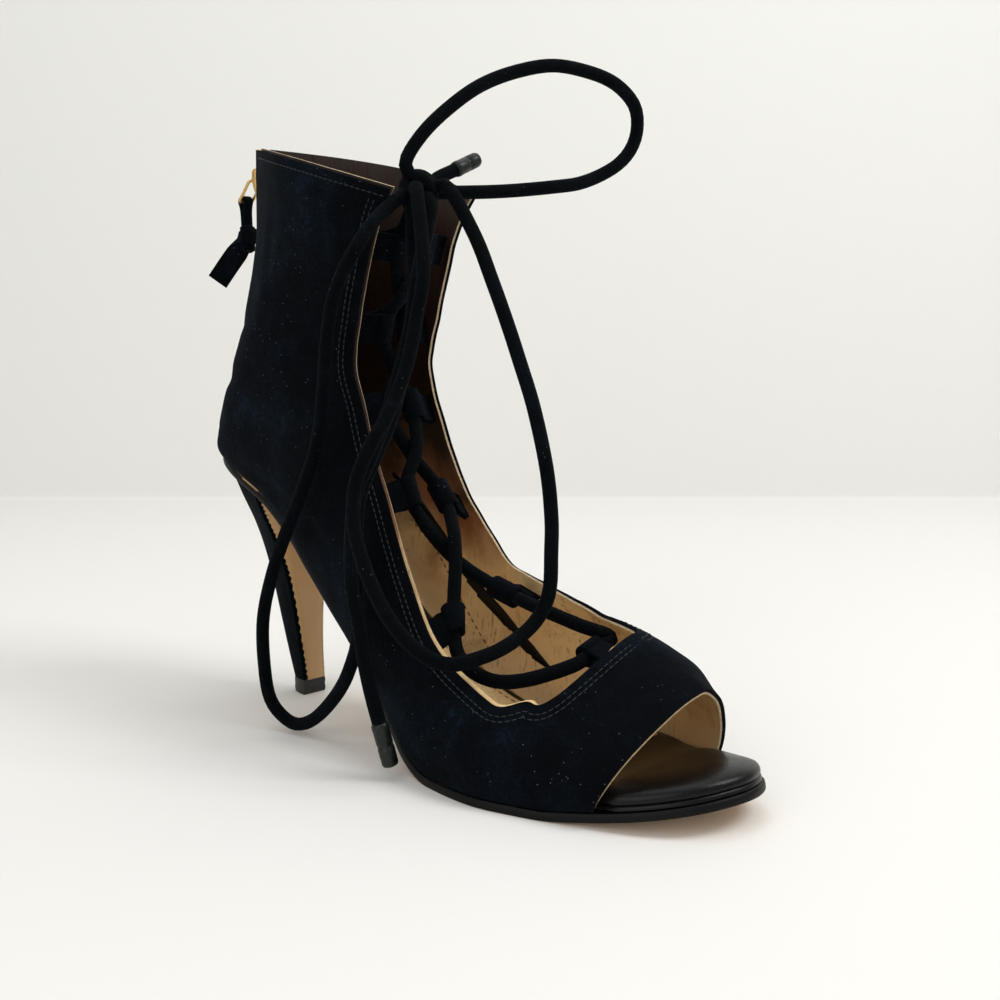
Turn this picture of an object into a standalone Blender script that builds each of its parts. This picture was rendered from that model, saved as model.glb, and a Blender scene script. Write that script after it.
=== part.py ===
"""High heeled lace up shoe with an open toe, one right shoe standing on heel and tread.

Frame: origin on the floor under the heel tip, +X to the toe, +Y to the inner (medial)
side of the foot, -Y to the outer (lateral) side, +Z up. All sizes in metres.
"""
import math
from collections import namedtuple

import bmesh
import bpy
import numpy as np
from mathutils import Matrix, Vector

# Driving sizes of the last
SHOE_LENGTH = 0.2185      # level length from the back of the seat to the toe tip
BALL_WIDTH = 0.076        # widest breadth of the tread
HEEL_HEIGHT = 0.086       # floor to the sole's underside at the back of the seat
SHAFT_HEIGHT = 0.1035     # back of the seat up to the back of the collar
ANKLE_WIDTH = 0.052       # breadth of the shaft over the ankle
HEEL_SET = 0.0315         # heel tip centre to the back of the seat, level
FIT_GAP = 0.0003          # gap between pieces that touch

# Driving sizes of the sole and its boards
OUTSOLE_THICKNESS = 0.0025
BOARD_THICKNESS = 0.0045
BOARD_RIM_SETBACK = 0.0006
BOARD_RIM_ROUND = 0.0016
SOCK_THICKNESS = 0.0011
SOCK_MARGIN = 0.0030
SOCK_END_STATION = 9      # the sock lining ends here, hidden under the vamp

# Driving sizes of the upper
WALL = 0.0018
FEATHER_SETBACK = 0.0005  # the upper's foot lies this far inside the sole's edge
FEATHER_LIFT = 0.0001     # and this far above the outsole, besides the common gap
COLLAR_BOW = 0.0028       # rise of the collar's edge between its back and front corners
THROAT_FRONT_SQUARENESS = 2.4
ZIP_START = 0.30          # share of the shaft's sections where the back zip begins
CHAIN_WIDTH = 0.0046
CHAIN_THICKNESS = 0.0012

# Driving sizes of the heel
TOP_LIFT_HEIGHT = 0.0050
TIP_HALF_WIDTH = 0.0046
BREAST_COVER_THICKNESS = 0.0009
BREAST_COVER_MARGIN = 0.0007

# Driving sizes of the lace, its tabs and its metal ends
LACE_DIAMETER = 0.0042
LACE_CLEARANCE = 0.0005
TAB_LEATHER = 0.0011
TAB_LENGTH = 0.0095       # along the throat edge
TAB_REACH = 0.0095        # throat edge to the lace's centre
TAB_ROOT = 0.0045         # hidden part behind the throat edge
TAB_SEAT_GAP = 0.0004     # between a tab's root and the wall it is stitched to
KNOT_SIZE = (0.0130, 0.0170, 0.0130)
AGLET_DIAMETER = 0.0050
AGLET_LENGTH = 0.0120
AGLET_TOP_LENGTH = 0.0090

# Driving sizes of the zip's slider and pull
ZIP_SLOT_EASE = 0.0004    # beside the chain, besides the common gap
CHAIN_INSET = 0.0001
SLIDER_DROP = 0.0100      # collar's back edge down to the slider's middle
SLIDER_WIDTH = 0.0052
SLIDER_HEIGHT = 0.0080
SLIDER_THICKNESS = 0.0024
BRIDGE_WIRE = 0.0012
PULL_WIRE = 0.0011
PULL_LINK_LENGTH = 0.0095
PULL_LINK_WIDTH = 0.0064
PULL_LEAN = 43.0          # degrees of the link from straight down, out from the shaft
STRIP_WIDTH = 0.0035
STRIP_LEATHER = 0.0012
STRIP_DROP = 0.0127       # link's lower bar down to the middle of the strip's knot
STRIP_BACK = 0.0006       # and this far toward the shaft
STRIP_KNOT = (0.0090, 0.0095, 0.0140)
STRIP_TAIL_LENGTH = 0.0165
STRIP_TAIL_WIDTH = 0.0076
STRIP_TAIL_ALONG = (-0.337, -0.479, -0.811)
STRIP_TAIL_ACROSS = (0.642, 0.513, -0.570)

# Counts of the meshes
SEAT_STEPS = 3            # rows between two stations of the outline
SECTION_STEPS = 3         # rows between two sections of the upper
HALF_STEPS = 8            # faces from feather to throat edge on one side
HEEL_BLEND_REACH = 1.8    # sections either side of the heel back that are blended
HEEL_BLEND_SPREAD = 1.0
HEEL_BLEND_ANGLE = 0.55   # the blend fades out below this angle, toward the feather
HEEL_BLEND = ((1 / 16, -1.0), (4 / 16, -0.5), (6 / 16, 0.0), (4 / 16, 0.5), (1 / 16, 1.0))
CORD_SIDES = 2            # bevel resolution of a cord

# Outline of the sole from heel back to toe tip: x as a share of the length from the
# back of the seat, half breadths as shares of the ball width.
Station = namedtuple("Station", "name along outer inner")
OUTLINE = [
    Station("heel back", 0.000, 0.000, 0.000),
    Station("seat corner", 0.034, -0.217, 0.217),
    Station("seat", 0.121, -0.296, 0.296),
    Station("breast", 0.236, -0.257, 0.243),
    Station("waist", 0.350, -0.243, 0.204),
    Station("arch", 0.470, -0.345, 0.238),
    Station("tread back", 0.577, -0.465, 0.335),
    Station("ball", 0.690, -0.513, 0.445),
    Station("ball front", 0.768, -0.472, 0.464),
    Station("toe joint", 0.854, -0.388, 0.370),
    Station("toe side", 0.927, -0.297, 0.278),
    Station("toe corner", 0.978, -0.172, 0.185),
    Station("toe tip", 1.000, 0.015, 0.015),
]

# Underside of the sole from heel to toe: x share of the length, z share of the heel height.
SoleHeight = namedtuple("SoleHeight", "along height")
SOLE_PROFILE = [
    SoleHeight(0.000, 1.000),
    SoleHeight(0.080, 0.925),
    SoleHeight(0.158, 0.840),
    SoleHeight(0.215, 0.715),
    SoleHeight(0.268, 0.560),
    SoleHeight(0.325, 0.405),
    SoleHeight(0.387, 0.285),
    SoleHeight(0.442, 0.195),
    SoleHeight(0.501, 0.105),
    SoleHeight(0.556, 0.036),
    SoleHeight(0.615, 0.000),
    SoleHeight(0.790, 0.000),
    SoleHeight(0.854, 0.017),
    SoleHeight(0.922, 0.047),
    SoleHeight(1.000, 0.093),
]

# Sections of the upper from the open toe to the collar. Each one is a plane across the
# foot that runs from its seat to its crown. Seat: station of the outline for the foot.
# Crown x and z: shares of length and heel height. Ridge: y of the crown, share of ball
# width. Wide: greatest half breadths and how far up they lie. Throat: y of the cut edge;
# where it equals the ridge the vamp is closed. Flat: 1 is round, more is flatter.
Section = namedtuple(
    "Section",
    "name seat crown_x crown_z ridge wide_at outer_wide inner_wide outer_throat inner_throat "
    "outer_flat inner_flat",
)
FOOT_SECTIONS = [
    Section("open toe", 9.15, 0.917, 0.384, 0.050, 0.10, -0.382, 0.358, 0.050, 0.050, 1.30, 1.25),
    Section("vamp", 8.60, 0.858, 0.448, 0.080, 0.12, -0.420, 0.408, 0.080, 0.080, 1.40, 1.00),
    Section("throat front", 8.05, 0.794, 0.506, 0.090, 0.12, -0.462, 0.456, 0.090, 0.090, 1.45, 1.05),
    Section("ball front", 7.60, 0.748, 0.530, 0.110, 0.12, -0.496, 0.460, -0.310, 0.170, 1.42, 1.10),
    Section("ball", 7.00, 0.707, 0.558, 0.105, 0.14, -0.516, 0.454, -0.378, 0.215, 1.38, 1.15),
    Section("tread back", 6.00, 0.605, 0.700, 0.066, 0.20, -0.472, 0.385, -0.362, 0.237, 1.25, 1.20),
    Section("arch", 5.00, 0.532, 0.895, 0.030, 0.30, -0.400, 0.340, -0.303, 0.285, 1.22, 1.15),
    Section("waist", 4.00, 0.473, 1.070, 0.010, 0.36, -0.368, 0.325, -0.257, 0.275, 1.10, 1.05),
    Section("breast", 3.00, 0.436, 1.209, 0.000, 0.36, -0.362, 0.335, -0.237, 0.250, 1.00, 1.00),
    Section("seat", 2.00, 0.427, 1.314, 0.000, 0.34, -0.355, 0.345, -0.230, 0.235, 0.95, 0.95),
    Section("seat corner", 1.00, 0.425, 1.395, 0.000, 0.33, -0.350, 0.345, -0.230, 0.230, 0.92, 0.92),
    Section("heel back", 0.00, 0.428, 1.465, 0.000, 0.32, -0.348, 0.343, -0.230, 0.230, 0.90, 0.90),
]

# Sections of the shaft above the seat. Back: x of the back line, share of the length, its y,
# share of the ankle width, and its height, share of the shaft height. Crown: front of the
# ankle, shares of length and shaft height above the seat. Half breadths and throat: shares
# of the ankle width. Keen: 1 is a round back, less comes to an edge along the zip.
ShaftSection = namedtuple(
    "ShaftSection",
    "name back_x back_y back_z crown_x crown_z wide_at half throat flat keen",
)
SHAFT_SECTIONS = [
    ShaftSection("counter", 0.010, 0.000, 0.150, 0.438, 0.457, 0.33, 0.505, 0.337, 0.90, 0.95),
    ShaftSection("counter top", 0.050, -0.030, 0.371, 0.456, 0.590, 0.38, 0.485, 0.337, 0.90, 0.80),
    ShaftSection("ankle", 0.070, -0.060, 0.657, 0.483, 0.714, 0.45, 0.475, 0.340, 0.90, 0.64),
    ShaftSection("collar", 0.078, -0.070, 1.000, 0.506, 0.772, 0.50, 0.500, 0.345, 0.90, 0.60),
]

# Rings of the heel from tip to seat: heights at breast and back as shares of the heel
# height, breast and back as shares of the length from the heel tip's centre, half width
# as a share of the tip's half width.
HeelRing = namedtuple("HeelRing", "breast_z back_z breast_x back_x half")
HEEL_RINGS = [
    HeelRing(0.062, 0.062, 0.0205, -0.0235, 1.00),
    HeelRing(0.170, 0.170, 0.0150, -0.0385, 1.12),
    HeelRing(0.320, 0.330, 0.0095, -0.0575, 1.38),
    HeelRing(0.470, 0.490, 0.0055, -0.0735, 1.80),
    HeelRing(0.580, 0.625, 0.0045, -0.0865, 2.40),
    HeelRing(0.675, 0.755, 0.0055, -0.1010, 3.20),
    HeelRing(0.765, 0.880, 0.0080, -0.1210, 4.10),
    HeelRing(0.838, 0.996, 0.0110, -0.1415, 4.75),
]
HEEL_ARC_STEPS = 12

# Lace tabs: the section of the upper on whose throat edge each one sits, as a place in
# the joined list of sections, lowest first.
TAB_PLACES = [5.35, 7.05, 8.70, 12.00, 13.60]
FRONT_TAB_PLACE = 2.0
FRONT_TAB_TURN = 1.83     # where it sits across the vamp; 2 is the ridge
FRONT_TAB_REACH = 0.0105
FRONT_BAR_HALF = 0.0084
FRONT_TAB_LENGTH = 0.0070
FRONT_TAB_DIP = 0.0055
FRONT_TAB_ROOT = 0.0035
FRONT_TAB_SINK = 0.0008   # its root lies this much deeper than the other tabs'
LACE_SPLICE = 0.0020      # the second leg starts this far inside the first
LACE_SPLICE_SHARE = 0.985 # and is this much thinner, so that their faces cross cleanly

# Routes of the free cords in millimetres, read against the photograph. Each one starts
# and, where it returns, ends at the knot. The bows of the front legs are read from the
# middle of the front tab's bore.
MM = 0.001
KNOT_PLACE = (68, -6, 170)
HIGH_LOOP = [
    (66, -10, 179), (69, -5, 187), (72, 3, 195), (76, 12, 202), (80, 23, 207), (85, 35, 210),
    (90, 46, 209), (94, 55, 206), (97, 61, 200), (97, 63, 193), (96, 61, 186), (94, 55, 180),
    (90, 45, 175), (86, 35, 173), (79, 19, 171), (73, 7, 170),
]
HIGH_LOOP_EXITS = ((-2, -4, 9), (5, 13, 0))
SIDE_LOOP = [
    (68, -17, 165), (68, -25, 159), (63, -30, 148), (57, -31, 137), (55, -32, 124),
    (54, -33, 108), (51, -33, 95), (44, -33, 81), (36, -34, 66), (29, -35, 51), (25, -36, 36),
    (25, -36, 21), (28, -36, 10), (34, -34, 4), (41, -33, 4), (49, -32, 9), (59, -32, 19),
    (66, -33, 29), (70, -34, 38), (71, -35, 55), (69, -33, 70), (69, -31, 81), (72, -28, 91),
    (73, -23, 101), (73, -18, 114), (73, -14, 128), (72, -12, 142), (69, -11, 156),
]
SIDE_LOOP_EXITS = ((0, -12, -4), (3, -8, -13))
FRONT_LOOP = [
    (79, -2, 166), (88, -2, 156), (95, -2, 143), (100, -1, 131), (105, -1, 120), (110, 0, 106),
    (115, 0, 89), (117, 0, 75), (117, 0, 65), (118, -2, 53), (117, -7, 45), (116, -17, 40),
    (115, -27, 38), (111, -36, 37), (105, -42, 41), (96, -45, 50), (87, -45, 62), (80, -43, 73),
    (77, -40, 84), (80, -37, 95), (83, -32, 105), (84, -26, 118), (84, -22, 132), (85, -20, 146),
    (83, -18, 158),
]
FRONT_LOOP_EXITS = ((12, 6, 1), (12, -14, -2))
SIDE_END = [
    (77, -15, 158), (79, -17, 143), (78, -19, 129), (77, -23, 115), (77, -29, 101),
    (76, -34, 90), (74, -37, 82), (74, -39, 71), (76, -41, 56), (80, -42, 45), (84, -43, 33),
    (87, -43, 24), (89, -42, 16),
]
SIDE_END_EXIT = (13, -4, -9)
TOP_END = [(66, 7, 174), (67, 11, 178)]
TOP_END_EXIT = (-2, 12, 5)
FRONT_LEG_BOW_OUTER = [(-8, -21, -6), (-19, -24, -7), (-30, -24, -3)]
FRONT_LEG_BOW_INNER = [(-8, 1, 7)]
CORD_STEP = 2.4           # points of a cord lie this many diameters apart
LACE_STEP = 1.2
EXIT_LEAD = 0.6           # straight start of a cord at the knot, in diameters

COLLECTION_NAME = "open_toe_lace_up_heel"


def interpolate(keys, values, at):
    """Read a smooth curve that never overshoots its table (monotone cubic)."""
    keys = np.asarray(keys, float)
    values = np.asarray(values, float)
    at = float(min(max(at, keys[0]), keys[-1]))
    steps = np.diff(keys)
    slopes = np.diff(values) / steps
    tangents = np.zeros(len(keys))
    tangents[0] = slopes[0]
    tangents[-1] = slopes[-1]
    for i in range(1, len(keys) - 1):
        if slopes[i - 1] * slopes[i] > 0:
            weight_a = 2 * steps[i] + steps[i - 1]
            weight_b = steps[i] + 2 * steps[i - 1]
            tangents[i] = (weight_a + weight_b) / (weight_a / slopes[i - 1] + weight_b / slopes[i])
    i = int(min(np.searchsorted(keys, at, side="right") - 1, len(steps) - 1))
    t = (at - keys[i]) / steps[i]
    h = steps[i]
    return float(
        (2 * t**3 - 3 * t**2 + 1) * values[i]
        + (t**3 - 2 * t**2 + t) * h * tangents[i]
        + (-2 * t**3 + 3 * t**2) * values[i + 1]
        + (t**3 - t**2) * h * tangents[i + 1]
    )


def catmull_rom(points, per_span, closed=False):
    """Sample a smooth curve through the points, a fixed number of steps a span."""
    points = [np.asarray(p, float) for p in points]
    count = len(points)
    spans = count if closed else count - 1
    samples = []
    for i in range(spans):
        if closed:
            p0, p1, p2, p3 = (points[(i + k - 1) % count] for k in range(4))
        else:
            p1, p2 = points[i], points[i + 1]
            p0 = points[i - 1] if i else 2 * p1 - p2
            p3 = points[i + 2] if i + 2 < count else 2 * p2 - p1
        for step in range(per_span):
            t = step / per_span
            samples.append(
                0.5 * (2 * p1 + (p2 - p0) * t + (2 * p0 - 5 * p1 + 4 * p2 - p3) * t**2
                       + (3 * p1 - p0 - 3 * p2 + p3) * t**3)
            )
    if not closed:
        samples.append(points[-1])
    return samples


def make_material(name, colour, roughness, metallic=0.0):
    """Plain Principled material of one sub-part."""
    material = bpy.data.materials.new(name)
    material.use_nodes = True
    shader = material.node_tree.nodes["Principled BSDF"]
    shader.inputs["Base Color"].default_value = (*colour, 1.0)
    shader.inputs["Roughness"].default_value = roughness
    shader.inputs["Metallic"].default_value = metallic
    material.diffuse_color = (*colour, 1.0)
    return material


class Shoe:
    """Holds the collections that new objects are linked to."""

    def __init__(self, name):
        self.parts = bpy.data.collections.new(name)
        self.cutters = bpy.data.collections.new(name + "_cutters")
        for collection in (self.parts, self.cutters):
            bpy.context.scene.collection.children.link(collection)

    def add_mesh(self, name, vertices, faces, material, smooth_angle=50.0):
        mesh = bpy.data.meshes.new(name)
        mesh.from_pydata([tuple(v) for v in vertices], [], faces)
        work = bmesh.new()
        work.from_mesh(mesh)
        bmesh.ops.remove_doubles(work, verts=work.verts, dist=1e-6)
        bmesh.ops.recalc_face_normals(work, faces=work.faces)
        work.to_mesh(mesh)
        work.free()
        mesh.materials.append(material)
        mesh.shade_smooth()
        mesh.set_sharp_from_angle(angle=math.radians(smooth_angle))
        obj = bpy.data.objects.new(name, mesh)
        self.parts.objects.link(obj)
        return obj

    def add_tube(self, name, points, diameter, material, resolution=CORD_SIDES):
        """Round cord as a poly curve with filled caps."""
        curve = bpy.data.curves.new(name, "CURVE")
        curve.dimensions = "3D"
        spline = curve.splines.new("POLY")
        spline.points.add(len(points) - 1)
        for target, point in zip(spline.points, points):
            target.co = (*point, 1.0)
        curve.bevel_depth = diameter / 2
        curve.bevel_resolution = resolution
        curve.use_fill_caps = True
        curve.materials.append(material)
        obj = bpy.data.objects.new(name, curve)
        self.parts.objects.link(obj)
        return obj


def grid_faces(rows, columns, offset=0, flip=False):
    """Quads of a grid of vertices stored row after row."""
    faces = []
    for i in range(rows - 1):
        for j in range(columns - 1):
            a = offset + i * columns + j
            face = (a, a + 1, a + columns + 1, a + columns)
            faces.append(tuple(reversed(face)) if flip else face)
    return faces


def length_x(share):
    """Level place of a share of the shoe's length, from the back of the seat."""
    return -HEEL_SET + share * SHOE_LENGTH


def sole_bottom(x):
    """Height of the sole's underside above the floor."""
    share = (x + HEEL_SET) / SHOE_LENGTH
    keys = [row.along for row in SOLE_PROFILE]
    heights = [row.height for row in SOLE_PROFILE]
    inside = min(max(share, keys[0]), keys[-1])
    near = 1 if inside == keys[0] else -1
    end_slope = (heights[near] - heights[near - 1]) / (keys[near] - keys[near - 1])
    height = interpolate(keys, heights, inside) + end_slope * (share - inside)
    return height * HEEL_HEIGHT


def sole_slope(x):
    """Unit vector square to the sole at x, pointing up."""
    step = 0.0015
    rise = (sole_bottom(x + step) - sole_bottom(x - step)) / (2 * step)
    return Vector((-rise, 0, 1)).normalized()


def on_sole(x, y, lift):
    """Point at a height square to the sole's underside."""
    return Vector((x, y, sole_bottom(x))) + sole_slope(x) * lift


def outline_loop():
    """Outer and inner edges of the sole, sampled alike from heel back to toe tip."""
    outer = [(length_x(row.along), row.outer * BALL_WIDTH) for row in OUTLINE]
    inner = [(length_x(row.along), row.inner * BALL_WIDTH) for row in OUTLINE]
    loop = catmull_rom(outer + inner[-2:0:-1], SEAT_STEPS, closed=True)
    last = (len(OUTLINE) - 1) * SEAT_STEPS
    outer_edge = [loop[i] for i in range(last + 1)]
    inner_edge = [loop[-i % len(loop)] for i in range(last + 1)]
    return outer_edge, inner_edge


def inset_edges(distance_at):
    """Both edges moved inward by a distance that may change along the length."""
    outer, inner = outline_loop()
    ring = outer + inner[-2:0:-1]
    count = len(ring)
    moved = []
    for i, point in enumerate(ring):
        ahead = np.asarray(ring[(i + 1) % count])
        behind = np.asarray(ring[i - 1])
        along = ahead - behind
        along /= np.linalg.norm(along)
        normal = np.array([-along[1], along[0]])
        moved.append(np.asarray(point) + normal * distance_at(point[0]))
    last = len(outer) - 1
    return moved[: last + 1], [moved[-i % count] for i in range(last + 1)]


def place_on_edges(edges, station):
    """Outer and inner points at a station that may lie between two of the outline's."""
    place = min(max(station, 0.0), len(OUTLINE) - 1.0) * SEAT_STEPS
    i = min(int(place), len(edges[0]) - 2)
    t = place - i
    return tuple((1 - t) * side[i] + t * side[i + 1] for side in edges)


def sole_plate(shoe, name, edges, low, high, material, round_edge=0.0):
    """Closed plate between two heights over the sole, with eased rims where asked."""
    outer, inner = edges
    rows = len(outer)
    profile = [(0.0, low), (0.0, high - round_edge)]
    if round_edge:
        corner = 0.3 * round_edge
        profile += [(corner, high - corner), (round_edge, high)]
    columns = 2 * len(profile)
    vertices = []
    for i in range(rows):
        a = np.asarray(outer[i])
        b = np.asarray(inner[i])
        across = b - a
        width = np.linalg.norm(across)
        ends = width < 1e-6
        toward = Vector((1 if i == 0 else -1, 0)) if ends else Vector(across / width)
        for sign, edge in ((1, a), (-1, b)):
            order = profile if sign == 1 else profile[::-1]
            for inset, lift in order:
                step = toward * inset * (1 if ends else sign)
                vertices.append(on_sole(edge[0] + step.x, edge[1] + step.y, lift))
    faces = []
    for i in range(rows - 1):
        for j in range(columns):
            a = i * columns + j
            b = i * columns + (j + 1) % columns
            faces.append((a, b, b + columns, a + columns))
    if not ends:
        faces.append(tuple(range((rows - 1) * columns, rows * columns)))
    return shoe.add_mesh(name, vertices, faces, material, 35.0)


class LastSurface:
    """The upper's outer surface, read at a place among the sections and along one half."""

    def __init__(self):
        edges = inset_edges(lambda x: FEATHER_SETBACK)
        self.rows = []
        for row in FOOT_SECTIONS:
            outer, inner = place_on_edges(edges, row.seat)
            self.rows.append({
                "crown": (length_x(row.crown_x), row.crown_z * HEEL_HEIGHT),
                "ridge": row.ridge * BALL_WIDTH,
                "wide_at": row.wide_at,
                "seat": row.seat,
                "keen": 1.0,
                "outer": (*outer, row.outer_wide * BALL_WIDTH, row.outer_throat * BALL_WIDTH,
                          row.outer_flat),
                "inner": (*inner, row.inner_wide * BALL_WIDTH, row.inner_throat * BALL_WIDTH,
                          row.inner_flat),
            })
        for row in SHAFT_SECTIONS:
            crown_z = HEEL_HEIGHT + row.crown_z * SHAFT_HEIGHT
            back_z = HEEL_HEIGHT + row.back_z * SHAFT_HEIGHT
            self.rows.append({
                "crown": (length_x(row.crown_x), crown_z),
                "ridge": 0.0,
                "wide_at": row.wide_at,
                "keen": row.keen,
                "back": (length_x(row.back_x), row.back_y * ANKLE_WIDTH, back_z),
                "outer": (None, None, -row.half * ANKLE_WIDTH, -row.throat * ANKLE_WIDTH, row.flat),
                "inner": (None, None, row.half * ANKLE_WIDTH, row.throat * ANKLE_WIDTH, row.flat),
            })
        self.edges = edges
        self.foot_count = len(FOOT_SECTIONS)
        self.last = len(self.rows) - 1
        self.keys = list(range(len(self.rows)))

    def read(self, place, get):
        return interpolate(self.keys, [get(row) for row in self.rows], place)

    def base(self, place, side):
        """Foot of a section: on the feather line, or on the back line above the seat."""
        seat_row = self.foot_count - 1
        if place <= seat_row:
            seat = interpolate(self.keys[: self.foot_count],
                               [row.seat for row in FOOT_SECTIONS], place)
            outer, inner = place_on_edges(self.edges, seat)
            x, y = outer if side == "outer" else inner
            lift = (OUTSOLE_THICKNESS + FIT_GAP) / sole_slope(x).z
            return Vector((x, y, sole_bottom(x) + lift + FEATHER_LIFT))
        start = self.base(seat_row, side)
        keys = self.keys[seat_row:]
        shaft = self.rows[self.foot_count:]
        return Vector(interpolate(keys, [start[axis]] + [row["back"][axis] for row in shaft], place)
                      for axis in range(3))

    def point(self, place, side, angle):
        """Point of the surface, with neighbouring sections blended round the heel."""
        near = max(0.0, 1 - abs(place - self.foot_count + 1) / HEEL_BLEND_REACH)
        spread = HEEL_BLEND_SPREAD * near * min(1.0, angle / HEEL_BLEND_ANGLE)
        total = Vector()
        for weight, shift in HEEL_BLEND:
            total += self.section_point(place + shift * spread, side, angle) * weight
        return total

    def section_point(self, place, side, angle):
        """Point on a section; angle 0 at its foot, 1 where widest, 2 at its crown."""
        foot = self.base(place, side)
        crown_x = self.read(place, lambda row: row["crown"][0])
        crown_z = self.read(place, lambda row: row["crown"][1])
        ridge = self.read(place, lambda row: row["ridge"])
        wide_at = self.read(place, lambda row: row["wide_at"])
        wide = self.read(place, lambda row: row[side][2])
        flat = self.read(place, lambda row: row[side][4])
        keen = self.read(place, lambda row: row["keen"])
        if angle <= 1:
            turn = angle * math.pi / 2
            up = wide_at * (1 - math.cos(turn)) ** keen
            y = foot.y + (wide - foot.y) * math.sin(turn)
        else:
            turn = (angle - 1) * math.pi / 2
            up = wide_at + (1 - wide_at) * math.sin(turn) ** flat
            y = ridge + (wide - ridge) * max(math.cos(turn), 0.0) ** flat
        bow = COLLAR_BOW * 4 * up * (1 - up) * self.shaft_share(place) ** 3
        height = foot.z + (crown_z - foot.z) * up + bow
        return Vector((foot.x + (crown_x - foot.x) * up, y, height))

    def shaft_share(self, place):
        """Zero on the foot, one at the collar."""
        start = self.foot_count - 1
        return min(max((place - start) / (self.last - start), 0.0), 1.0)

    def throat_angle(self, place, side):
        """Angle on the section where the throat is cut, 2 where the vamp is closed."""
        start = 2
        if place <= start:
            return 2.0
        ridge = self.read(place, lambda row: row["ridge"])
        wide = self.read(place, lambda row: row[side][2])
        flat = self.read(place, lambda row: row[side][4])
        throat = self.read(max(place, start + 1), lambda row: row[side][3])
        if place < start + 1:
            power = THROAT_FRONT_SQUARENESS
            opening = (1 - (start + 1 - place) ** power) ** (1 / power)
            throat = ridge + (throat - ridge) * opening
        share = min(max((throat - ridge) / (wide - ridge), 0.0), 1.0)
        return 1 + math.acos(share ** (1 / flat)) / (math.pi / 2)

    def throat(self, place, side):
        return self.point(place, side, self.throat_angle(place, side))

    def zip_start(self):
        return self.foot_count - 1 + ZIP_START * len(SHAFT_SECTIONS)

    def start_angle(self, place, side):
        """Angle where a half starts: zero, or beside the back zip's slot."""
        if place <= self.zip_start():
            return 0.0
        breadth = abs(self.read(place, lambda row: row[side][2]) - self.base(place, side).y)
        return math.asin((CHAIN_WIDTH / 2 + FIT_GAP + ZIP_SLOT_EASE) / breadth) / (math.pi / 2)

    def normal(self, place, side, angle):
        """Outward unit vector on a section."""
        step = 0.02
        along = self.point(place + step, side, angle) - self.point(place - step, side, angle)
        around = self.point(place, side, angle + step) - self.point(place, side, angle - step)
        normal = along.cross(around).normalized()
        outward = -1 if side == "outer" else 1
        return normal if normal.y * outward > 0 else -normal

    def tab_frame(self, place, side, reach):
        """Lace centre and hidden root of a tab stitched behind the throat edge."""
        angle = self.throat_angle(place, side)
        edge = self.point(place, side, angle)
        far = self.throat(place, "inner" if side == "outer" else "outer")
        inward = -self.normal(place, side, angle - 0.02)
        depth = WALL + TAB_SEAT_GAP + TAB_LEATHER
        behind = self.point(place, side, angle - 0.05) - edge
        root = edge + behind.normalized() * TAB_ROOT + inward * depth
        centre = edge + (far - edge).normalized() * reach + inward * depth
        return centre, root

    def back_frame(self, drop):
        """Point on the back line at a drop below the collar, its outward and up vectors."""
        top = self.base(self.last, "outer").z
        low, high = self.zip_start(), float(self.last)
        for _ in range(40):
            middle = (low + high) / 2
            if self.base(middle, "outer").z < top - drop:
                low = middle
            else:
                high = middle
        spot = self.base(low, "outer")
        up = (self.base(low + 0.05, "outer") - self.base(low - 0.05, "outer")).normalized()
        return spot, Vector((-up.z, 0.0, up.x)), up

    def row_places(self):
        """Places of the mesh's rows, closer together at the throat's front and the zip."""
        places = [i / SECTION_STEPS for i in range(self.last * SECTION_STEPS + 1)]
        places += [2.03, 2.12, 2.27, 2.75, 3.25]
        begin = self.zip_start()
        places += [begin, begin + 0.02]
        return sorted(set(places))


def build_upper(shoe, last, material):
    """One wall: both halves of the last's surface, thickened inward."""
    vertices = []
    faces = []
    places = last.row_places()
    for side, flip in (("outer", False), ("inner", True)):
        offset = len(vertices)
        for place in places:
            start = last.start_angle(place, side)
            end = last.throat_angle(place, side)
            for j in range(HALF_STEPS + 1):
                share = j / HALF_STEPS
                vertices.append(last.point(place, side, start + (end - start) * share))
        faces += grid_faces(len(places), HALF_STEPS + 1, offset, flip)
    obj = shoe.add_mesh("upper", vertices, faces, material, 40.0)
    outward = Vector((0, -1, 0))
    sample = max(obj.data.polygons, key=lambda face: -face.center.y)
    if sample.normal.dot(outward) < 0:
        obj.data.flip_normals()
    wall = obj.modifiers.new("wall", "SOLIDIFY")
    wall.thickness = WALL
    wall.offset = -1
    wall.use_even_offset = True
    return obj


def build_soles(shoe, materials):
    """Outsole, wrapped board and sock lining, each over the one below."""
    sole_plate(shoe, "outsole", inset_edges(lambda x: 0.0), 0.0, OUTSOLE_THICKNESS,
               materials["sole"])
    peep_x = length_x(0.868)
    rim_x = length_x(0.895)
    inside = FEATHER_SETBACK + WALL + 2 * FIT_GAP

    def board_inset(x):
        share = min(max((x - peep_x) / (rim_x - peep_x), 0.0), 1.0)
        return inside + (BOARD_RIM_SETBACK - inside) * share

    low = OUTSOLE_THICKNESS + FIT_GAP
    high = low + BOARD_THICKNESS
    sole_plate(shoe, "insole_board", inset_edges(board_inset), low, high, materials["board"],
               BOARD_RIM_ROUND)
    sock_low = high + FIT_GAP
    edges = inset_edges(lambda x: board_inset(x) + SOCK_MARGIN)
    count = SOCK_END_STATION * SEAT_STEPS + 1
    sole_plate(shoe, "sock_lining", (edges[0][:count], edges[1][:count]),
               sock_low, sock_low + SOCK_THICKNESS, materials["lining"])


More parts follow.
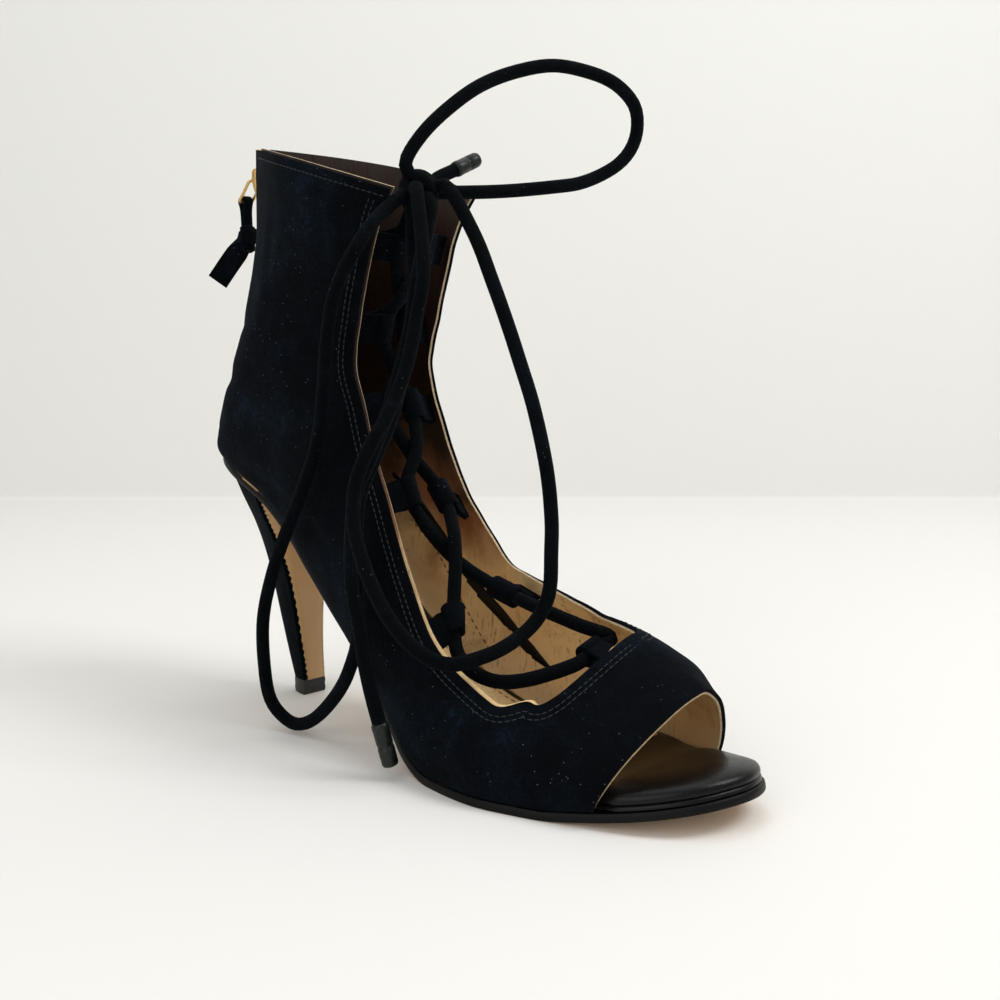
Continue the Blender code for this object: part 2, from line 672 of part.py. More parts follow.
def heel_ring_points(ring, top=False):
    """D shaped ring: rounded back from the outer to the inner end of the flat breast."""
    breast = ring.breast_x * SHOE_LENGTH
    back = ring.back_x * SHOE_LENGTH
    half = ring.half * TIP_HALF_WIDTH
    points = []
    for step in range(HEEL_ARC_STEPS + 1):
        turn = -math.pi / 2 + math.pi * step / HEEL_ARC_STEPS
        share = math.cos(turn)
        x = breast + (back - breast) * share
        level = ring.breast_z + (ring.back_z - ring.breast_z) * share
        z = sole_bottom(x) - FIT_GAP if top else level * HEEL_HEIGHT
        points.append(Vector((x, half * math.sin(turn), z)))
    return points


def ladder_solid(shoe, name, rings, material, smooth_angle=40.0):
    """Closed solid through D rings, with ruled ends that join mirrored points."""
    count = len(rings[0])
    vertices = [point for ring in rings for point in ring]
    faces = []
    for i in range(len(rings) - 1):
        for j in range(count):
            a = i * count + j
            b = i * count + (j + 1) % count
            faces.append((a, b, b + count, a + count))
    for base, flip in ((0, True), ((len(rings) - 1) * count, False)):
        for j in range(count // 2):
            far = count - 1 - j
            face = (base + j, base + j + 1, base + far - 1, base + far)
            if len(set(face)) < 4:
                face = tuple(dict.fromkeys(face))
            faces.append(tuple(reversed(face)) if flip else face)
    return shoe.add_mesh(name, vertices, faces, material, smooth_angle)


def build_heel(shoe, materials):
    """Heel block, its flat breast cover and the top lift that stands on the floor."""
    rings = [heel_ring_points(row, top=row is HEEL_RINGS[-1]) for row in HEEL_RINGS]
    ladder_solid(shoe, "heel_block", rings, materials["suede"])
    tip = rings[0]
    lift_top = min(point.z for point in tip) - FIT_GAP
    low = [Vector((point.x, point.y, 0.0)) for point in tip]
    high = [Vector((point.x, point.y, min(lift_top, TOP_LIFT_HEIGHT))) for point in tip]
    ladder_solid(shoe, "heel_top_lift", [low, high], materials["lift"])
    vertices = []
    for ring in rings:
        front = ring[0].x + FIT_GAP
        height = min(ring[0].z, sole_bottom(front + BREAST_COVER_THICKNESS) - FIT_GAP)
        for corner in (ring[0], ring[-1]):
            y = corner.y - math.copysign(BREAST_COVER_MARGIN, corner.y)
            vertices.append(Vector((front, y, height)))
    cover = shoe.add_mesh("heel_breast_cover", vertices, grid_faces(len(rings), 2),
                          materials["breast"])
    if cover.data.polygons[0].normal.x < 0:
        cover.data.flip_normals()
    sheet = cover.modifiers.new("sheet", "SOLIDIFY")
    sheet.thickness = BREAST_COVER_THICKNESS
    sheet.offset = 1


def route_points(points, diameter, step=CORD_STEP):
    """Even points along a smooth curve through a route's own points."""
    fine = [Vector(p) for p in catmull_rom(points, 12)]
    lengths = [0.0]
    for a, b in zip(fine, fine[1:]):
        lengths.append(lengths[-1] + (b - a).length)
    count = max(2, round(lengths[-1] / (diameter * step)) + 1)
    even = []
    i = 0
    for k in range(count):
        target = lengths[-1] * k / (count - 1)
        while i < len(fine) - 2 and lengths[i + 1] < target:
            i += 1
        span = lengths[i + 1] - lengths[i]
        share = (target - lengths[i]) / span if span else 0.0
        even.append(fine[i].lerp(fine[i + 1], share))
    return even


def knot_face(direction):
    """Point just off the knot's surface in a direction from its centre, and its normal."""
    ray = Vector(direction).normalized()
    halves = [size / 2 for size in KNOT_SIZE]
    radius = 1 / math.sqrt(sum((ray[i] / halves[i]) ** 2 for i in range(3)))
    normal = Vector(ray[i] / halves[i] ** 2 for i in range(3)).normalized()
    return Vector(KNOT_PLACE) * MM + ray * radius + normal * FIT_GAP, normal


def cord_from_knot(exits, points):
    """Points of a cord that leaves the knot square to its surface, and may come back."""
    route = [Vector(p) * MM for p in points[1:]]
    start, normal = knot_face(exits[0])
    route.insert(0, start + normal * LACE_DIAMETER * EXIT_LEAD)
    if len(exits) == 1:
        return [start] + route_points(route, LACE_DIAMETER)
    finish, normal = knot_face(exits[1])
    route[-1] = finish + normal * LACE_DIAMETER * EXIT_LEAD
    return [start] + route_points(route, LACE_DIAMETER) + [finish]


def ring_stations(path, middle, length, count):
    """Points of a path at even steps either side of the path point nearest the middle."""
    fine = [Vector(p) for p in path]
    lengths = [0.0]
    for a, b in zip(fine, fine[1:]):
        lengths.append(lengths[-1] + (b - a).length)
    near = min(range(len(fine)), key=lambda i: (fine[i] - middle).length)

    def at(target):
        i = 0
        while i < len(fine) - 2 and lengths[i + 1] < target:
            i += 1
        share = (target - lengths[i]) / (lengths[i + 1] - lengths[i])
        return fine[i].lerp(fine[i + 1], share), (fine[i + 1] - fine[i]).normalized()

    start = lengths[near] - length / 2
    return [at(start + length * k / (count - 1)) for k in range(count)]


def folded_tab(shoe, name, stations, roots, bore, leather, material):
    """Leather folded round a bore, its two layers joined down to the root."""
    ring_turns = (62, 105, 143, 180, 217, 255, 298)
    root_turn = math.radians(22)
    outer_radius = bore / 2 + leather
    vertices = []
    for (centre, tangent), root in zip(stations, roots):
        toward = root - centre
        toward = (toward - tangent * toward.dot(tangent)).normalized()
        across = tangent.cross(toward).normalized()
        reach = (root - centre).dot(toward)
        ahead = toward * math.cos(root_turn) * bore / 2
        aside = across * math.sin(root_turn) * bore / 2
        outline = [toward * reach + across * leather]
        hole = [ahead + aside]
        for degrees in ring_turns:
            turn = math.radians(degrees)
            ray = toward * math.cos(turn) + across * math.sin(turn)
            outline.append(ray * outer_radius)
            hole.append(ray * bore / 2)
        outline.append(toward * reach - across * leather)
        hole.append(ahead - aside)
        vertices += [centre + offset for offset in outline + hole]
    sides = len(ring_turns) + 2
    ring = 2 * sides
    faces = []
    for i in range(len(stations) - 1):
        for j in range(sides):
            k = (j + 1) % sides
            a = i * ring
            faces.append((a + j, a + k, a + ring + k, a + ring + j))
            b = a + sides
            faces.append((b + k, b + j, b + ring + j, b + ring + k))
    for base, flip in ((0, True), ((len(stations) - 1) * ring, False)):
        for j in range(sides):
            k = (j + 1) % sides
            face = (base + j, base + k, base + sides + k, base + sides + j)
            faces.append(tuple(reversed(face)) if flip else face)
    return shoe.add_mesh(name, vertices, faces, material, 45.0)


def lace_paths(last):
    """The two legs of the lace from the front bar to the knot, and each tab's spot."""
    frames = {}
    for level, place in enumerate(TAB_PLACES, start=1):
        for side in ("outer", "inner"):
            frames[side, level] = last.tab_frame(place, side, TAB_REACH)
    spot = FRONT_TAB_PLACE, "outer", FRONT_TAB_TURN
    front_edge = last.point(*spot)
    depth = WALL + TAB_SEAT_GAP + TAB_LEATHER
    behind = (last.point(FRONT_TAB_PLACE - 0.3, "outer", FRONT_TAB_TURN) - front_edge).normalized()
    bar = last.point(FRONT_TAB_PLACE, "outer", FRONT_TAB_TURN + 0.1) - front_edge
    bar.normalize()
    inward = bar.cross(behind).normalized()
    if inward.z > 0:
        inward.negate()
    front_root = front_edge + behind * FRONT_TAB_ROOT + inward * (depth + FRONT_TAB_SINK)
    front_centre = front_edge - behind * FRONT_TAB_REACH + inward * (depth + FRONT_TAB_DIP)
    crossings = []
    for level in range(1, len(TAB_PLACES)):
        four = [frames[side, k][0] for side in ("outer", "inner") for k in (level, level + 1)]
        crossings.append(sum(four, Vector()) / 4)
    legs = []
    for first, second, sign, bow in (
        ("outer", "inner", -1, FRONT_LEG_BOW_OUTER),
        ("inner", "outer", 1, FRONT_LEG_BOW_INNER),
    ):
        leg = [front_centre, front_centre + bar * sign * FRONT_BAR_HALF]
        if first == "inner":
            leg.insert(0, front_centre - bar * LACE_SPLICE)
        leg += [front_centre + Vector(p) * MM for p in bow]
        for level in range(1, len(TAB_PLACES) + 1):
            leg.append(frames[first if level % 2 else second, level][0])
            if level < len(TAB_PLACES):
                leg.append(crossings[level - 1])
        start, normal = knot_face(leg[-1] - Vector(KNOT_PLACE) * MM)
        leg += [start + normal * LACE_DIAMETER * 0.5, start]
        legs.append(leg)
    return frames, (front_centre, front_root, bar), legs


def build_lace(shoe, last, materials):
    """Lace through the tabs, the tabs, and the bow with its free ends."""
    frames, (front_centre, front_root, bar), legs = lace_paths(last)
    whole = legs[0][::-1] + legs[1][2:]
    fine = catmull_rom(whole, 12)
    for (side, level), (centre, root) in frames.items():
        stations = ring_stations(fine, centre, TAB_LENGTH, 4)
        roots = []
        middle = (stations[0][0] + stations[-1][0]) / 2
        edge_step = 0.1
        ahead = last.throat(TAB_PLACES[level - 1] + edge_step, side)
        along = (ahead - last.throat(TAB_PLACES[level - 1] - edge_step, side)).normalized()
        for spot, _ in stations:
            roots.append(root + along * (spot - middle).dot(along))
        label = {"outer": "lateral", "inner": "medial"}[side]
        folded_tab(shoe, f"lace_tab_{label}_{level}", stations, roots,
                   LACE_DIAMETER + 2 * LACE_CLEARANCE, TAB_LEATHER, materials["suede"])
    stations = ring_stations(fine, front_centre, FRONT_TAB_LENGTH, 4)
    roots = [front_root + bar * (spot - front_centre).dot(bar) for spot, _ in stations]
    folded_tab(shoe, "lace_tab_front", stations, roots,
               LACE_DIAMETER + 2 * LACE_CLEARANCE, TAB_LEATHER, materials["suede"])
    lace = tube_mesh(shoe, "lace_crossings", legs[0], LACE_DIAMETER, materials["lace"], LACE_STEP)
    other = tube_mesh(shoe, "lace_leg_inner", legs[1], LACE_DIAMETER * LACE_SPLICE_SHARE,
                      materials["lace"], LACE_STEP)
    join(shoe, lace, other)

    egg_mesh(shoe, "lace_knot", KNOT_SIZE, Vector(KNOT_PLACE) * MM, materials["lace"])
    for name, exits, points in (
        ("lace_loop_high", HIGH_LOOP_EXITS, HIGH_LOOP),
        ("lace_loop_side", SIDE_LOOP_EXITS, SIDE_LOOP),
        ("lace_loop_front", FRONT_LOOP_EXITS, FRONT_LOOP),
    ):
        shoe.add_tube(name, cord_from_knot(exits, points), LACE_DIAMETER, materials["lace"])
    for name, leave, points, length in (
        ("side", SIDE_END_EXIT, SIDE_END, AGLET_LENGTH),
        ("top", TOP_END_EXIT, TOP_END, AGLET_TOP_LENGTH),
    ):
        cord = cord_from_knot((leave,), points)
        shoe.add_tube(f"lace_end_{name}", cord, LACE_DIAMETER, materials["lace"])
        ray = (cord[-1] - cord[-2]).normalized()
        start = cord[-1] + ray * FIT_GAP
        shoe.add_tube(f"aglet_{name}", [start, start + ray * length], AGLET_DIAMETER,
                      materials["aglet"], 3)


def tube_mesh(shoe, name, route, diameter, material, step):
    """Cord turned into a closed mesh, ready to be joined with another."""
    points = route_points(route, diameter, step)
    curve = shoe.add_tube(name + "_curve", points, diameter, material)
    depsgraph = bpy.context.evaluated_depsgraph_get()
    mesh = bpy.data.meshes.new_from_object(curve.evaluated_get(depsgraph))
    work = bmesh.new()
    work.from_mesh(mesh)
    bmesh.ops.remove_doubles(work, verts=work.verts, dist=1e-6)
    bmesh.ops.recalc_face_normals(work, faces=work.faces)
    work.to_mesh(mesh)
    work.free()
    obj = bpy.data.objects.new(name, mesh)
    obj.matrix_world = curve.matrix_world
    shoe.parts.objects.link(obj)
    bpy.data.objects.remove(curve, do_unlink=True)
    return obj


def egg_mesh(shoe, name, size, centre, material):
    """Rounded lump with the given sizes along X, Y and Z."""
    mesh = bpy.data.meshes.new(name)
    work = bmesh.new()
    bmesh.ops.create_icosphere(work, subdivisions=2, radius=0.5)
    for vertex in work.verts:
        vertex.co = Vector(vertex.co[i] * size[i] for i in range(3))
    work.to_mesh(mesh)
    work.free()
    mesh.materials.append(material)
    mesh.shade_smooth()
    obj = bpy.data.objects.new(name, mesh)
    obj.location = centre
    shoe.parts.objects.link(obj)
    return obj


def join(shoe, obj, other):
    """Boolean union with another object, which becomes a hidden cutter."""
    for collection in list(other.users_collection):
        collection.objects.unlink(other)
    shoe.cutters.objects.link(other)
    other.hide_render = True
    other.display_type = "WIRE"
    union = obj.modifiers.new("join_" + other.name, "BOOLEAN")
    union.operation = "UNION"
    union.solver = "EXACT"
    union.object = other


def box_mesh(shoe, name, size, matrix_columns, centre, material, bevel=0.0):
    """Bevelled box with its own X, Y, Z along the given vectors."""
    mesh = bpy.data.meshes.new(name)
    work = bmesh.new()
    bmesh.ops.create_cube(work, size=1.0)
    for vertex in work.verts:
        local = vertex.co.copy()
        vertex.co = sum((matrix_columns[i] * local[i] * size[i] for i in range(3)), Vector())
    work.to_mesh(mesh)
    work.free()
    mesh.materials.append(material)
    obj = bpy.data.objects.new(name, mesh)
    obj.location = centre
    shoe.parts.objects.link(obj)
    if bevel:
        ease = obj.modifiers.new("ease", "BEVEL")
        ease.width = bevel
        ease.segments = 2
    return obj


def build_zip(shoe, last, materials):
    """Chain in the back slot, slider with its bridge, and the pull on its hinge."""
    begin = last.zip_start() + 0.06
    rows = 14
    vertices = []
    for i in range(rows):
        place = begin + (last.last - begin) * i / (rows - 1)
        spot = last.base(place, "outer")
        up = (last.base(min(place + 0.05, last.last), "outer") - last.base(place - 0.05, "outer"))
        outward = Vector((-up.z, 0.0, up.x)).normalized()
        for sign in (-1, 1):
            vertices.append(spot - outward * CHAIN_INSET + Vector((0, sign * CHAIN_WIDTH / 2, 0)))
    chain = shoe.add_mesh("zip_chain", vertices, grid_faces(rows, 2), materials["brass"])
    if chain.data.polygons[0].normal.x > 0:
        chain.data.flip_normals()
    body = chain.modifiers.new("body", "SOLIDIFY")
    body.thickness = CHAIN_THICKNESS
    body.offset = -1

    spot, outward, up = last.back_frame(SLIDER_DROP)
    side = Vector((0.0, 1.0, 0.0))
    centre = spot + outward * (FIT_GAP + SLIDER_THICKNESS / 2)
    slider = box_mesh(shoe, "zip_slider", (SLIDER_THICKNESS, SLIDER_WIDTH, SLIDER_HEIGHT),
                      (outward, side, up), centre, materials["brass"], 0.0006)
    axle = centre + outward * (SLIDER_THICKNESS / 2 + FIT_GAP + PULL_WIRE / 2)
    arch_radius = PULL_WIRE / 2 + FIT_GAP + BRIDGE_WIRE / 2
    arch = []
    for degrees in range(0, 181, 30):
        turn = math.radians(degrees)
        arch.append(axle + (up * math.cos(turn) + outward * math.sin(turn)) * arch_radius)
    sink = outward * (FIT_GAP + PULL_WIRE / 2 + SLIDER_THICKNESS * 0.3)
    bridge = tube_mesh(shoe, "zip_slider_bridge", [arch[0] - sink] + arch + [arch[-1] - sink],
                       BRIDGE_WIRE, materials["brass"], 0.7)
    join(shoe, slider, bridge)

    hinge = bpy.data.objects.new("zip_pull_hinge", None)
    hinge.location = axle
    shoe.parts.objects.link(hinge)
    lean = math.radians(PULL_LEAN)
    down = Vector((-math.sin(lean), 0.0, -math.cos(lean)))
    half = PULL_LINK_WIDTH / 2 - PULL_WIRE / 2
    corner = PULL_WIRE * 0.7
    loop = []
    for across, along, turn_start in (
        (half - corner, corner, -90), (half - corner, PULL_LINK_LENGTH - corner, 0),
        (-half + corner, PULL_LINK_LENGTH - corner, 90), (-half + corner, corner, 180),
    ):
        for step in range(3):
            turn = math.radians(turn_start + 45 * step)
            loop.append(side * (across + corner * math.cos(turn))
                        + down * (along + corner * math.sin(turn)))
    curve = bpy.data.curves.new("zip_pull_link", "CURVE")
    curve.dimensions = "3D"
    spline = curve.splines.new("POLY")
    spline.points.add(len(loop) - 1)
    for target, point in zip(spline.points, loop):
        target.co = (*point, 1.0)
    spline.use_cyclic_u = True
    curve.bevel_depth = PULL_WIRE / 2
    curve.bevel_resolution = CORD_SIDES
    curve.materials.append(materials["brass"])
    link = bpy.data.objects.new("zip_pull_link", curve)
    shoe.parts.objects.link(link)
    link.parent = hinge

    low_bar = axle + down * PULL_LINK_LENGTH
    bore = PULL_WIRE + 3 * FIT_GAP
    knot_place = low_bar + Vector((STRIP_BACK, 0.0, -STRIP_DROP))
    stations = []
    roots = []
    for sign in (-1, 1):
        offset = side * sign * STRIP_WIDTH / 2
        stations.append((low_bar + offset, side))
        roots.append(knot_place + offset)
    strip = folded_tab(shoe, "zip_pull_strip", stations, roots, bore, STRIP_LEATHER,
                       materials["suede"])
    knot = egg_mesh(shoe, "zip_pull_knot", STRIP_KNOT, knot_place, materials["suede"])
    tail_along = Vector(STRIP_TAIL_ALONG).normalized()
    tail_face = tail_along.cross(Vector(STRIP_TAIL_ACROSS)).normalized()
    tail_across = tail_face.cross(tail_along)
    tail = box_mesh(shoe, "zip_pull_tail", (STRIP_LEATHER, STRIP_TAIL_WIDTH, STRIP_TAIL_LENGTH),
                    (tail_face, tail_across, tail_along),
                    knot_place + tail_along * STRIP_TAIL_LENGTH / 2, materials["suede"])
    join(shoe, strip, knot)
    join(shoe, strip, tail)
    strip.parent = hinge
    strip.matrix_parent_inverse = Matrix.Translation(-axle)


def main():
    for obj in list(bpy.data.objects):
        bpy.data.objects.remove(obj, do_unlink=True)
    materials = {
        "suede": make_material("suede", (0.012, 0.016, 0.022), 0.9),
        "sole": make_material("sole_leather", (0.02, 0.02, 0.022), 0.5),
        "board": make_material("wrapped_leather", (0.015, 0.016, 0.018), 0.4),
        "lining": make_material("lining_leather", (0.70, 0.50, 0.26), 0.6),
        "breast": make_material("tan_leather", (0.41, 0.23, 0.09), 0.5),
        "lift": make_material("top_lift_rubber", (0.02, 0.02, 0.02), 0.6),
        "brass": make_material("zip_brass", (0.75, 0.52, 0.18), 0.3, 1.0),
        "lace": make_material("lace_cord", (0.015, 0.02, 0.026), 0.9),
        "aglet": make_material("aglet", (0.03, 0.035, 0.03), 0.35),
    }
    shoe = Shoe(COLLECTION_NAME)
    last = LastSurface()
    build_soles(shoe, materials)
    build_upper(shoe, last, materials["suede"])
    build_heel(shoe, materials)
    build_zip(shoe, last, materials)
    build_lace(shoe, last, materials)


main()
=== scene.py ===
"""Dressed scene of an open toe lace up high heel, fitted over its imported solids.

The frame is the part's own: origin on the floor under the heel tip, +X to the toe, +Y to
the inner side of the foot, +Z up, metres. Routes of cords are in millimetres.
"""
import logging
import math
from dataclasses import dataclass, field
from enum import Enum
from typing import Any, Callable, Sequence

import bmesh
import bpy
import numpy as np
from mathutils import Matrix, Vector, noise
from mathutils.bvhtree import BVHTree


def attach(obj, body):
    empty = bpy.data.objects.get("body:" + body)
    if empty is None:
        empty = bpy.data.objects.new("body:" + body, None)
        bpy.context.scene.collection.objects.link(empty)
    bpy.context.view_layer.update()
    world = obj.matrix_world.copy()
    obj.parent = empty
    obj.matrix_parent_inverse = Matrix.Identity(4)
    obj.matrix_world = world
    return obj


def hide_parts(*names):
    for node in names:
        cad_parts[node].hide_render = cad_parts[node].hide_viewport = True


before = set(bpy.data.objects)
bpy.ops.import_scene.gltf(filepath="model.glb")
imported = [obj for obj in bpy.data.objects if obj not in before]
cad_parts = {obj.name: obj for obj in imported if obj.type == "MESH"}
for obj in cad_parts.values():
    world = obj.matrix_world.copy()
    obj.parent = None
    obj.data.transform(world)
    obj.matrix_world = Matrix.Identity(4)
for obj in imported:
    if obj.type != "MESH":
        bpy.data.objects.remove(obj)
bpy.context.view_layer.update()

LOG = logging.getLogger("shoe")
MM = 0.001
WELD = 1e-6
SLIVER = 1e-7
TO_INNER = np.array([0.0, 1.0, 0.0])
Array = np.ndarray
Piece = bpy.types.Object
Material = bpy.types.Material
Triple = tuple[float, float, float]
Spots = Sequence[Sequence[float]]


class Side(Enum):
    """Half of the shoe."""

    OUTER = "outer"
    INNER = "inner"


class Slot(Enum):
    """Material slots of the record."""

    SUEDE = "suede"
    SOLE = "sole_leather"
    BOARD = "wrapped_leather"
    LINING = "lining_leather"
    TAN = "tan_leather"
    LIFT = "top_lift"
    BRASS = "brass"
    LACE = "lace"
    AGLET = "aglet"


# ---- shader tools


def feed(tree: bpy.types.NodeTree, target: bpy.types.NodeSocket, value: Any) -> None:
    """Link or set an input of a node.

    Args:
        tree: the node's tree.
        target: the input.
        value: Expr, output socket, number or tuple. Colours get their alpha here.
    """
    if isinstance(value, Expr):
        value = value.socket
    if isinstance(value, bpy.types.NodeSocket):
        tree.links.new(value, target)
    else:
        target.default_value = (*value, 1.0) if target.type == "RGBA" else value


class Expr:
    """A number socket of a shader tree that adds Math nodes when it is used in a sum."""

    def __init__(self, tree: bpy.types.NodeTree, socket: Any) -> None:
        """Wrap a socket or a plain number."""
        self.tree = tree
        self.socket = socket

    def _math(self, operation: str, *operands: Any, clamp: bool = False) -> "Expr":
        """Add one Math node.

        Args:
            operation: the node's operation.
            operands: numbers or Exprs for its sockets.
            clamp: whether the result is held between 0 and 1.

        Returns:
            The node's result.
        """
        node = self.tree.nodes.new("ShaderNodeMath")
        node.operation = operation
        node.use_clamp = clamp
        for target, operand in zip(node.inputs, operands):
            feed(self.tree, target, operand)
        return Expr(self.tree, node.outputs[0])

    def __add__(self, other: Any) -> "Expr":
        """Sum."""
        return self._math("ADD", self, other)

    __radd__ = __add__

    def __sub__(self, other: Any) -> "Expr":
        """Difference."""
        return self._math("SUBTRACT", self, other)

    def __rsub__(self, other: Any) -> "Expr":
        """Reflected difference."""
        return self._math("SUBTRACT", other, self)

    def __mul__(self, other: Any) -> "Expr":
        """Product."""
        return self._math("MULTIPLY", self, other)

    __rmul__ = __mul__

    def __truediv__(self, other: Any) -> "Expr":
        """Quotient."""
        return self._math("DIVIDE", self, other)

    def below(self, level: Any) -> "Expr":
        """One where the value lies below a level, else zero."""
        return self._math("LESS_THAN", self, level)

    def above(self, level: Any) -> "Expr":
        """One where the value lies above a level, else zero."""
        return self._math("GREATER_THAN", self, level)

    def clamped(self) -> "Expr":
        """The value held between 0 and 1."""
        return self._math("ADD", self, 0.0, clamp=True)


@dataclass
class Paint:
    """One material under construction."""

    name: str
    material: Material = field(init=False)
    tree: bpy.types.NodeTree = field(init=False)
    shader: bpy.types.Node = field(init=False)

    def __post_init__(self) -> None:
        """Start from a bare Principled shader."""
        self.material = bpy.data.materials.new(self.name)
        self.material.use_nodes = True
        self.tree = self.material.node_tree
        self.shader = self.tree.nodes["Principled BSDF"]

    def node(self, kind: str, settings: dict[str, Any] | None = None,
             **sockets: Any) -> bpy.types.Node:
        """Add any node.

        Args:
            kind: the node's type.
            settings: properties that are set first, such as a mix's data type.
            sockets: values, Exprs or sockets by socket name, underscores for spaces.

        Returns:
            The new node.
        """
        made = self.tree.nodes.new(kind)
        for key, value in (settings or {}).items():
            setattr(made, key, value)
        for key, value in sockets.items():
            feed(self.tree, made.inputs[key.replace("_", " ")], value)
        return made

    def place(self, stretch: Sequence[float] = (1, 1, 1)) -> bpy.types.NodeSocket:
        """Object coordinates.

        Args:
            stretch: scale along each axis.

        Returns:
            The coordinates' socket.
        """
        spot = self.node("ShaderNodeTexCoord").outputs["Object"]
        if tuple(stretch) == (1, 1, 1):
            return spot
        return self.node("ShaderNodeMapping", Vector=spot, Scale=stretch).outputs["Vector"]

    def noise(self, scale: float, detail: float = 3.0, roughness: float = 0.5,
              stretch: Sequence[float] = (1, 1, 1), distortion: float = 0.0) -> Expr:
        """Noise on object coordinates.

        Args:
            scale: patterns in a metre.
            detail: number of finer layers.
            roughness: share of the finer layers.
            stretch: scale along each axis.
            distortion: how far the pattern is bent.

        Returns:
            The noise's value.
        """
        made = self.node("ShaderNodeTexNoise", Vector=self.place(stretch), Scale=scale,
                         Detail=detail, Roughness=roughness, Distortion=distortion)
        return Expr(self.tree, made.outputs[0])

    def cells(self, scale: float) -> Expr:
        """Distance to the nearest point of a cell pattern, with its cells in a metre."""
        made = self.node("ShaderNodeTexVoronoi", Vector=self.place(), Scale=scale)
        return Expr(self.tree, made.outputs["Distance"])

    def ramp(self, value: Expr, low: float, high: float) -> Expr:
        """Value stretched from low..high to 0..1 and clamped."""
        return ((value - low) / (high - low)).clamped()

    def mix(self, share: Expr | float, first: Any, second: Any) -> bpy.types.NodeSocket:
        """Colour between two colours.

        Args:
            share: share of the second colour.
            first: colour or colour socket at share 0.
            second: colour or colour socket at share 1.

        Returns:
            The mixed colour's socket.
        """
        made = self.node("ShaderNodeMix", {"data_type": "RGBA"})
        for index, value in ((0, share), (6, first), (7, second)):
            feed(self.tree, made.inputs[index], value)
        return made.outputs[2]

    def finish(self, colour: Any, roughness: Any, height: Expr | None = None,
               relief: float = 0.0002, strength: float = 0.6, **fixed: Any) -> Material:
        """Connect the shader's sockets.

        Args:
            colour: colour socket.
            roughness: Expr or number.
            height: bump height.
            relief: bump distance in metres.
            strength: bump strength.
            fixed: constant sockets of the shader by name, underscores for spaces.

        Returns:
            The finished material.
        """
        sockets = {"Base_Color": colour, "Roughness": roughness, **fixed}
        if height is not None:
            bump = self.node("ShaderNodeBump", Height=height, Distance=relief, Strength=strength)
            sockets["Normal"] = bump.outputs[0]
        for key, value in sockets.items():
            feed(self.tree, self.shader.inputs[key.replace("_", " ")], value)
        return self.material


# ---- finishes


@dataclass(frozen=True)
class Suede:
    """Napped leather with brushed patches, partly painted sheen, painted glints on a mottled
    nap and a little lint.
    """

    name: str
    deep: Triple = (0.0008, 0.0011, 0.0018)
    brushed_and_sheen: Triple = (0.0070, 0.0170, 0.0310)
    patch_scale: float = 34.0
    mottle_scale: float = 420.0
    lint: float = 0.06
    grit_scale: float = 1100.0
    nap_scale: float = 2400.0
    lint_scale: float = 520.0
    lint_tone: Triple = (0.30, 0.34, 0.38)
    roughness: float = 0.95
    relief: float = 0.00045

    def make(self) -> Material:
        """Build the material."""
        paint = Paint(self.name)
        patches = paint.ramp(paint.noise(self.patch_scale, 4.0, 0.62, distortion=0.5), 0.49, 0.69)
        clouds = paint.ramp(paint.noise(self.patch_scale * 4, 4.0, 0.65), 0.42, 0.70)
        mottle = paint.ramp(paint.noise(self.mottle_scale, 5.0, 0.75), 0.45, 0.72)
        nap = paint.noise(self.nap_scale, 3.0, 0.8)
        # painted glints: light specks on the fine nap
        painted_nap_glints = paint.ramp(nap, 0.50, 0.74)
        grit = paint.ramp(paint.noise(self.grit_scale, 3.0, 0.8), 0.50, 0.66)
        # the lighter brushed colour is partly the nap's own tone and partly painted sheen
        share = patches * (clouds * 0.35 + 0.20) * (mottle * 0.7 + 0.3)
        share = share + clouds * mottle * 0.14 + grit * (patches * 0.55 + clouds * 0.20)
        share = (share + painted_nap_glints * (patches * 0.35 + 0.06)).clamped()
        colour = paint.mix(share, self.deep, self.brushed_and_sheen)
        specks = paint.cells(self.lint_scale).below(self.lint)
        keep = paint.noise(60.0, 2.0, 0.5).above(0.50)
        colour = paint.mix(specks * keep * 0.6, colour, self.lint_tone)
        height = nap * 0.5 + mottle * 0.5 + clouds * 0.5
        return paint.finish(colour, self.roughness, height, self.relief, 0.7,
                            Specular_IOR_Level=0.06, Sheen_Weight=0.018, Sheen_Roughness=0.5,
                            Sheen_Tint=(0.30, 0.50, 0.75))


@dataclass(frozen=True)
class GrainLeather:
    """Smooth leather with fine grain, creases of tone and a slight coat."""

    name: str
    tone: Triple
    shade: Triple
    roughness: float = 0.38
    grain: float = 0.00006
    coat: float = 0.15
    cloud: float = 30.0
    shine: float = 0.5
    pore_scale: float = 1500.0
    rub_scale: float = 240.0

    def make(self) -> Material:
        """Build the material."""
        paint = Paint(self.name)
        cloud = paint.ramp(paint.noise(self.cloud, 4.0, 0.55), 0.35, 0.75)
        pores = paint.cells(self.pore_scale)
        rub = paint.noise(self.rub_scale, 3.0, 0.6)
        colour = paint.mix(cloud, self.tone, self.shade)
        roughness = self.roughness + rub * 0.16 - 0.05
        return paint.finish(colour, roughness, pores * 0.7 + rub * 0.6, self.grain, 0.7,
                            Specular_IOR_Level=self.shine, Coat_Weight=self.coat,
                            Coat_Roughness=0.25)


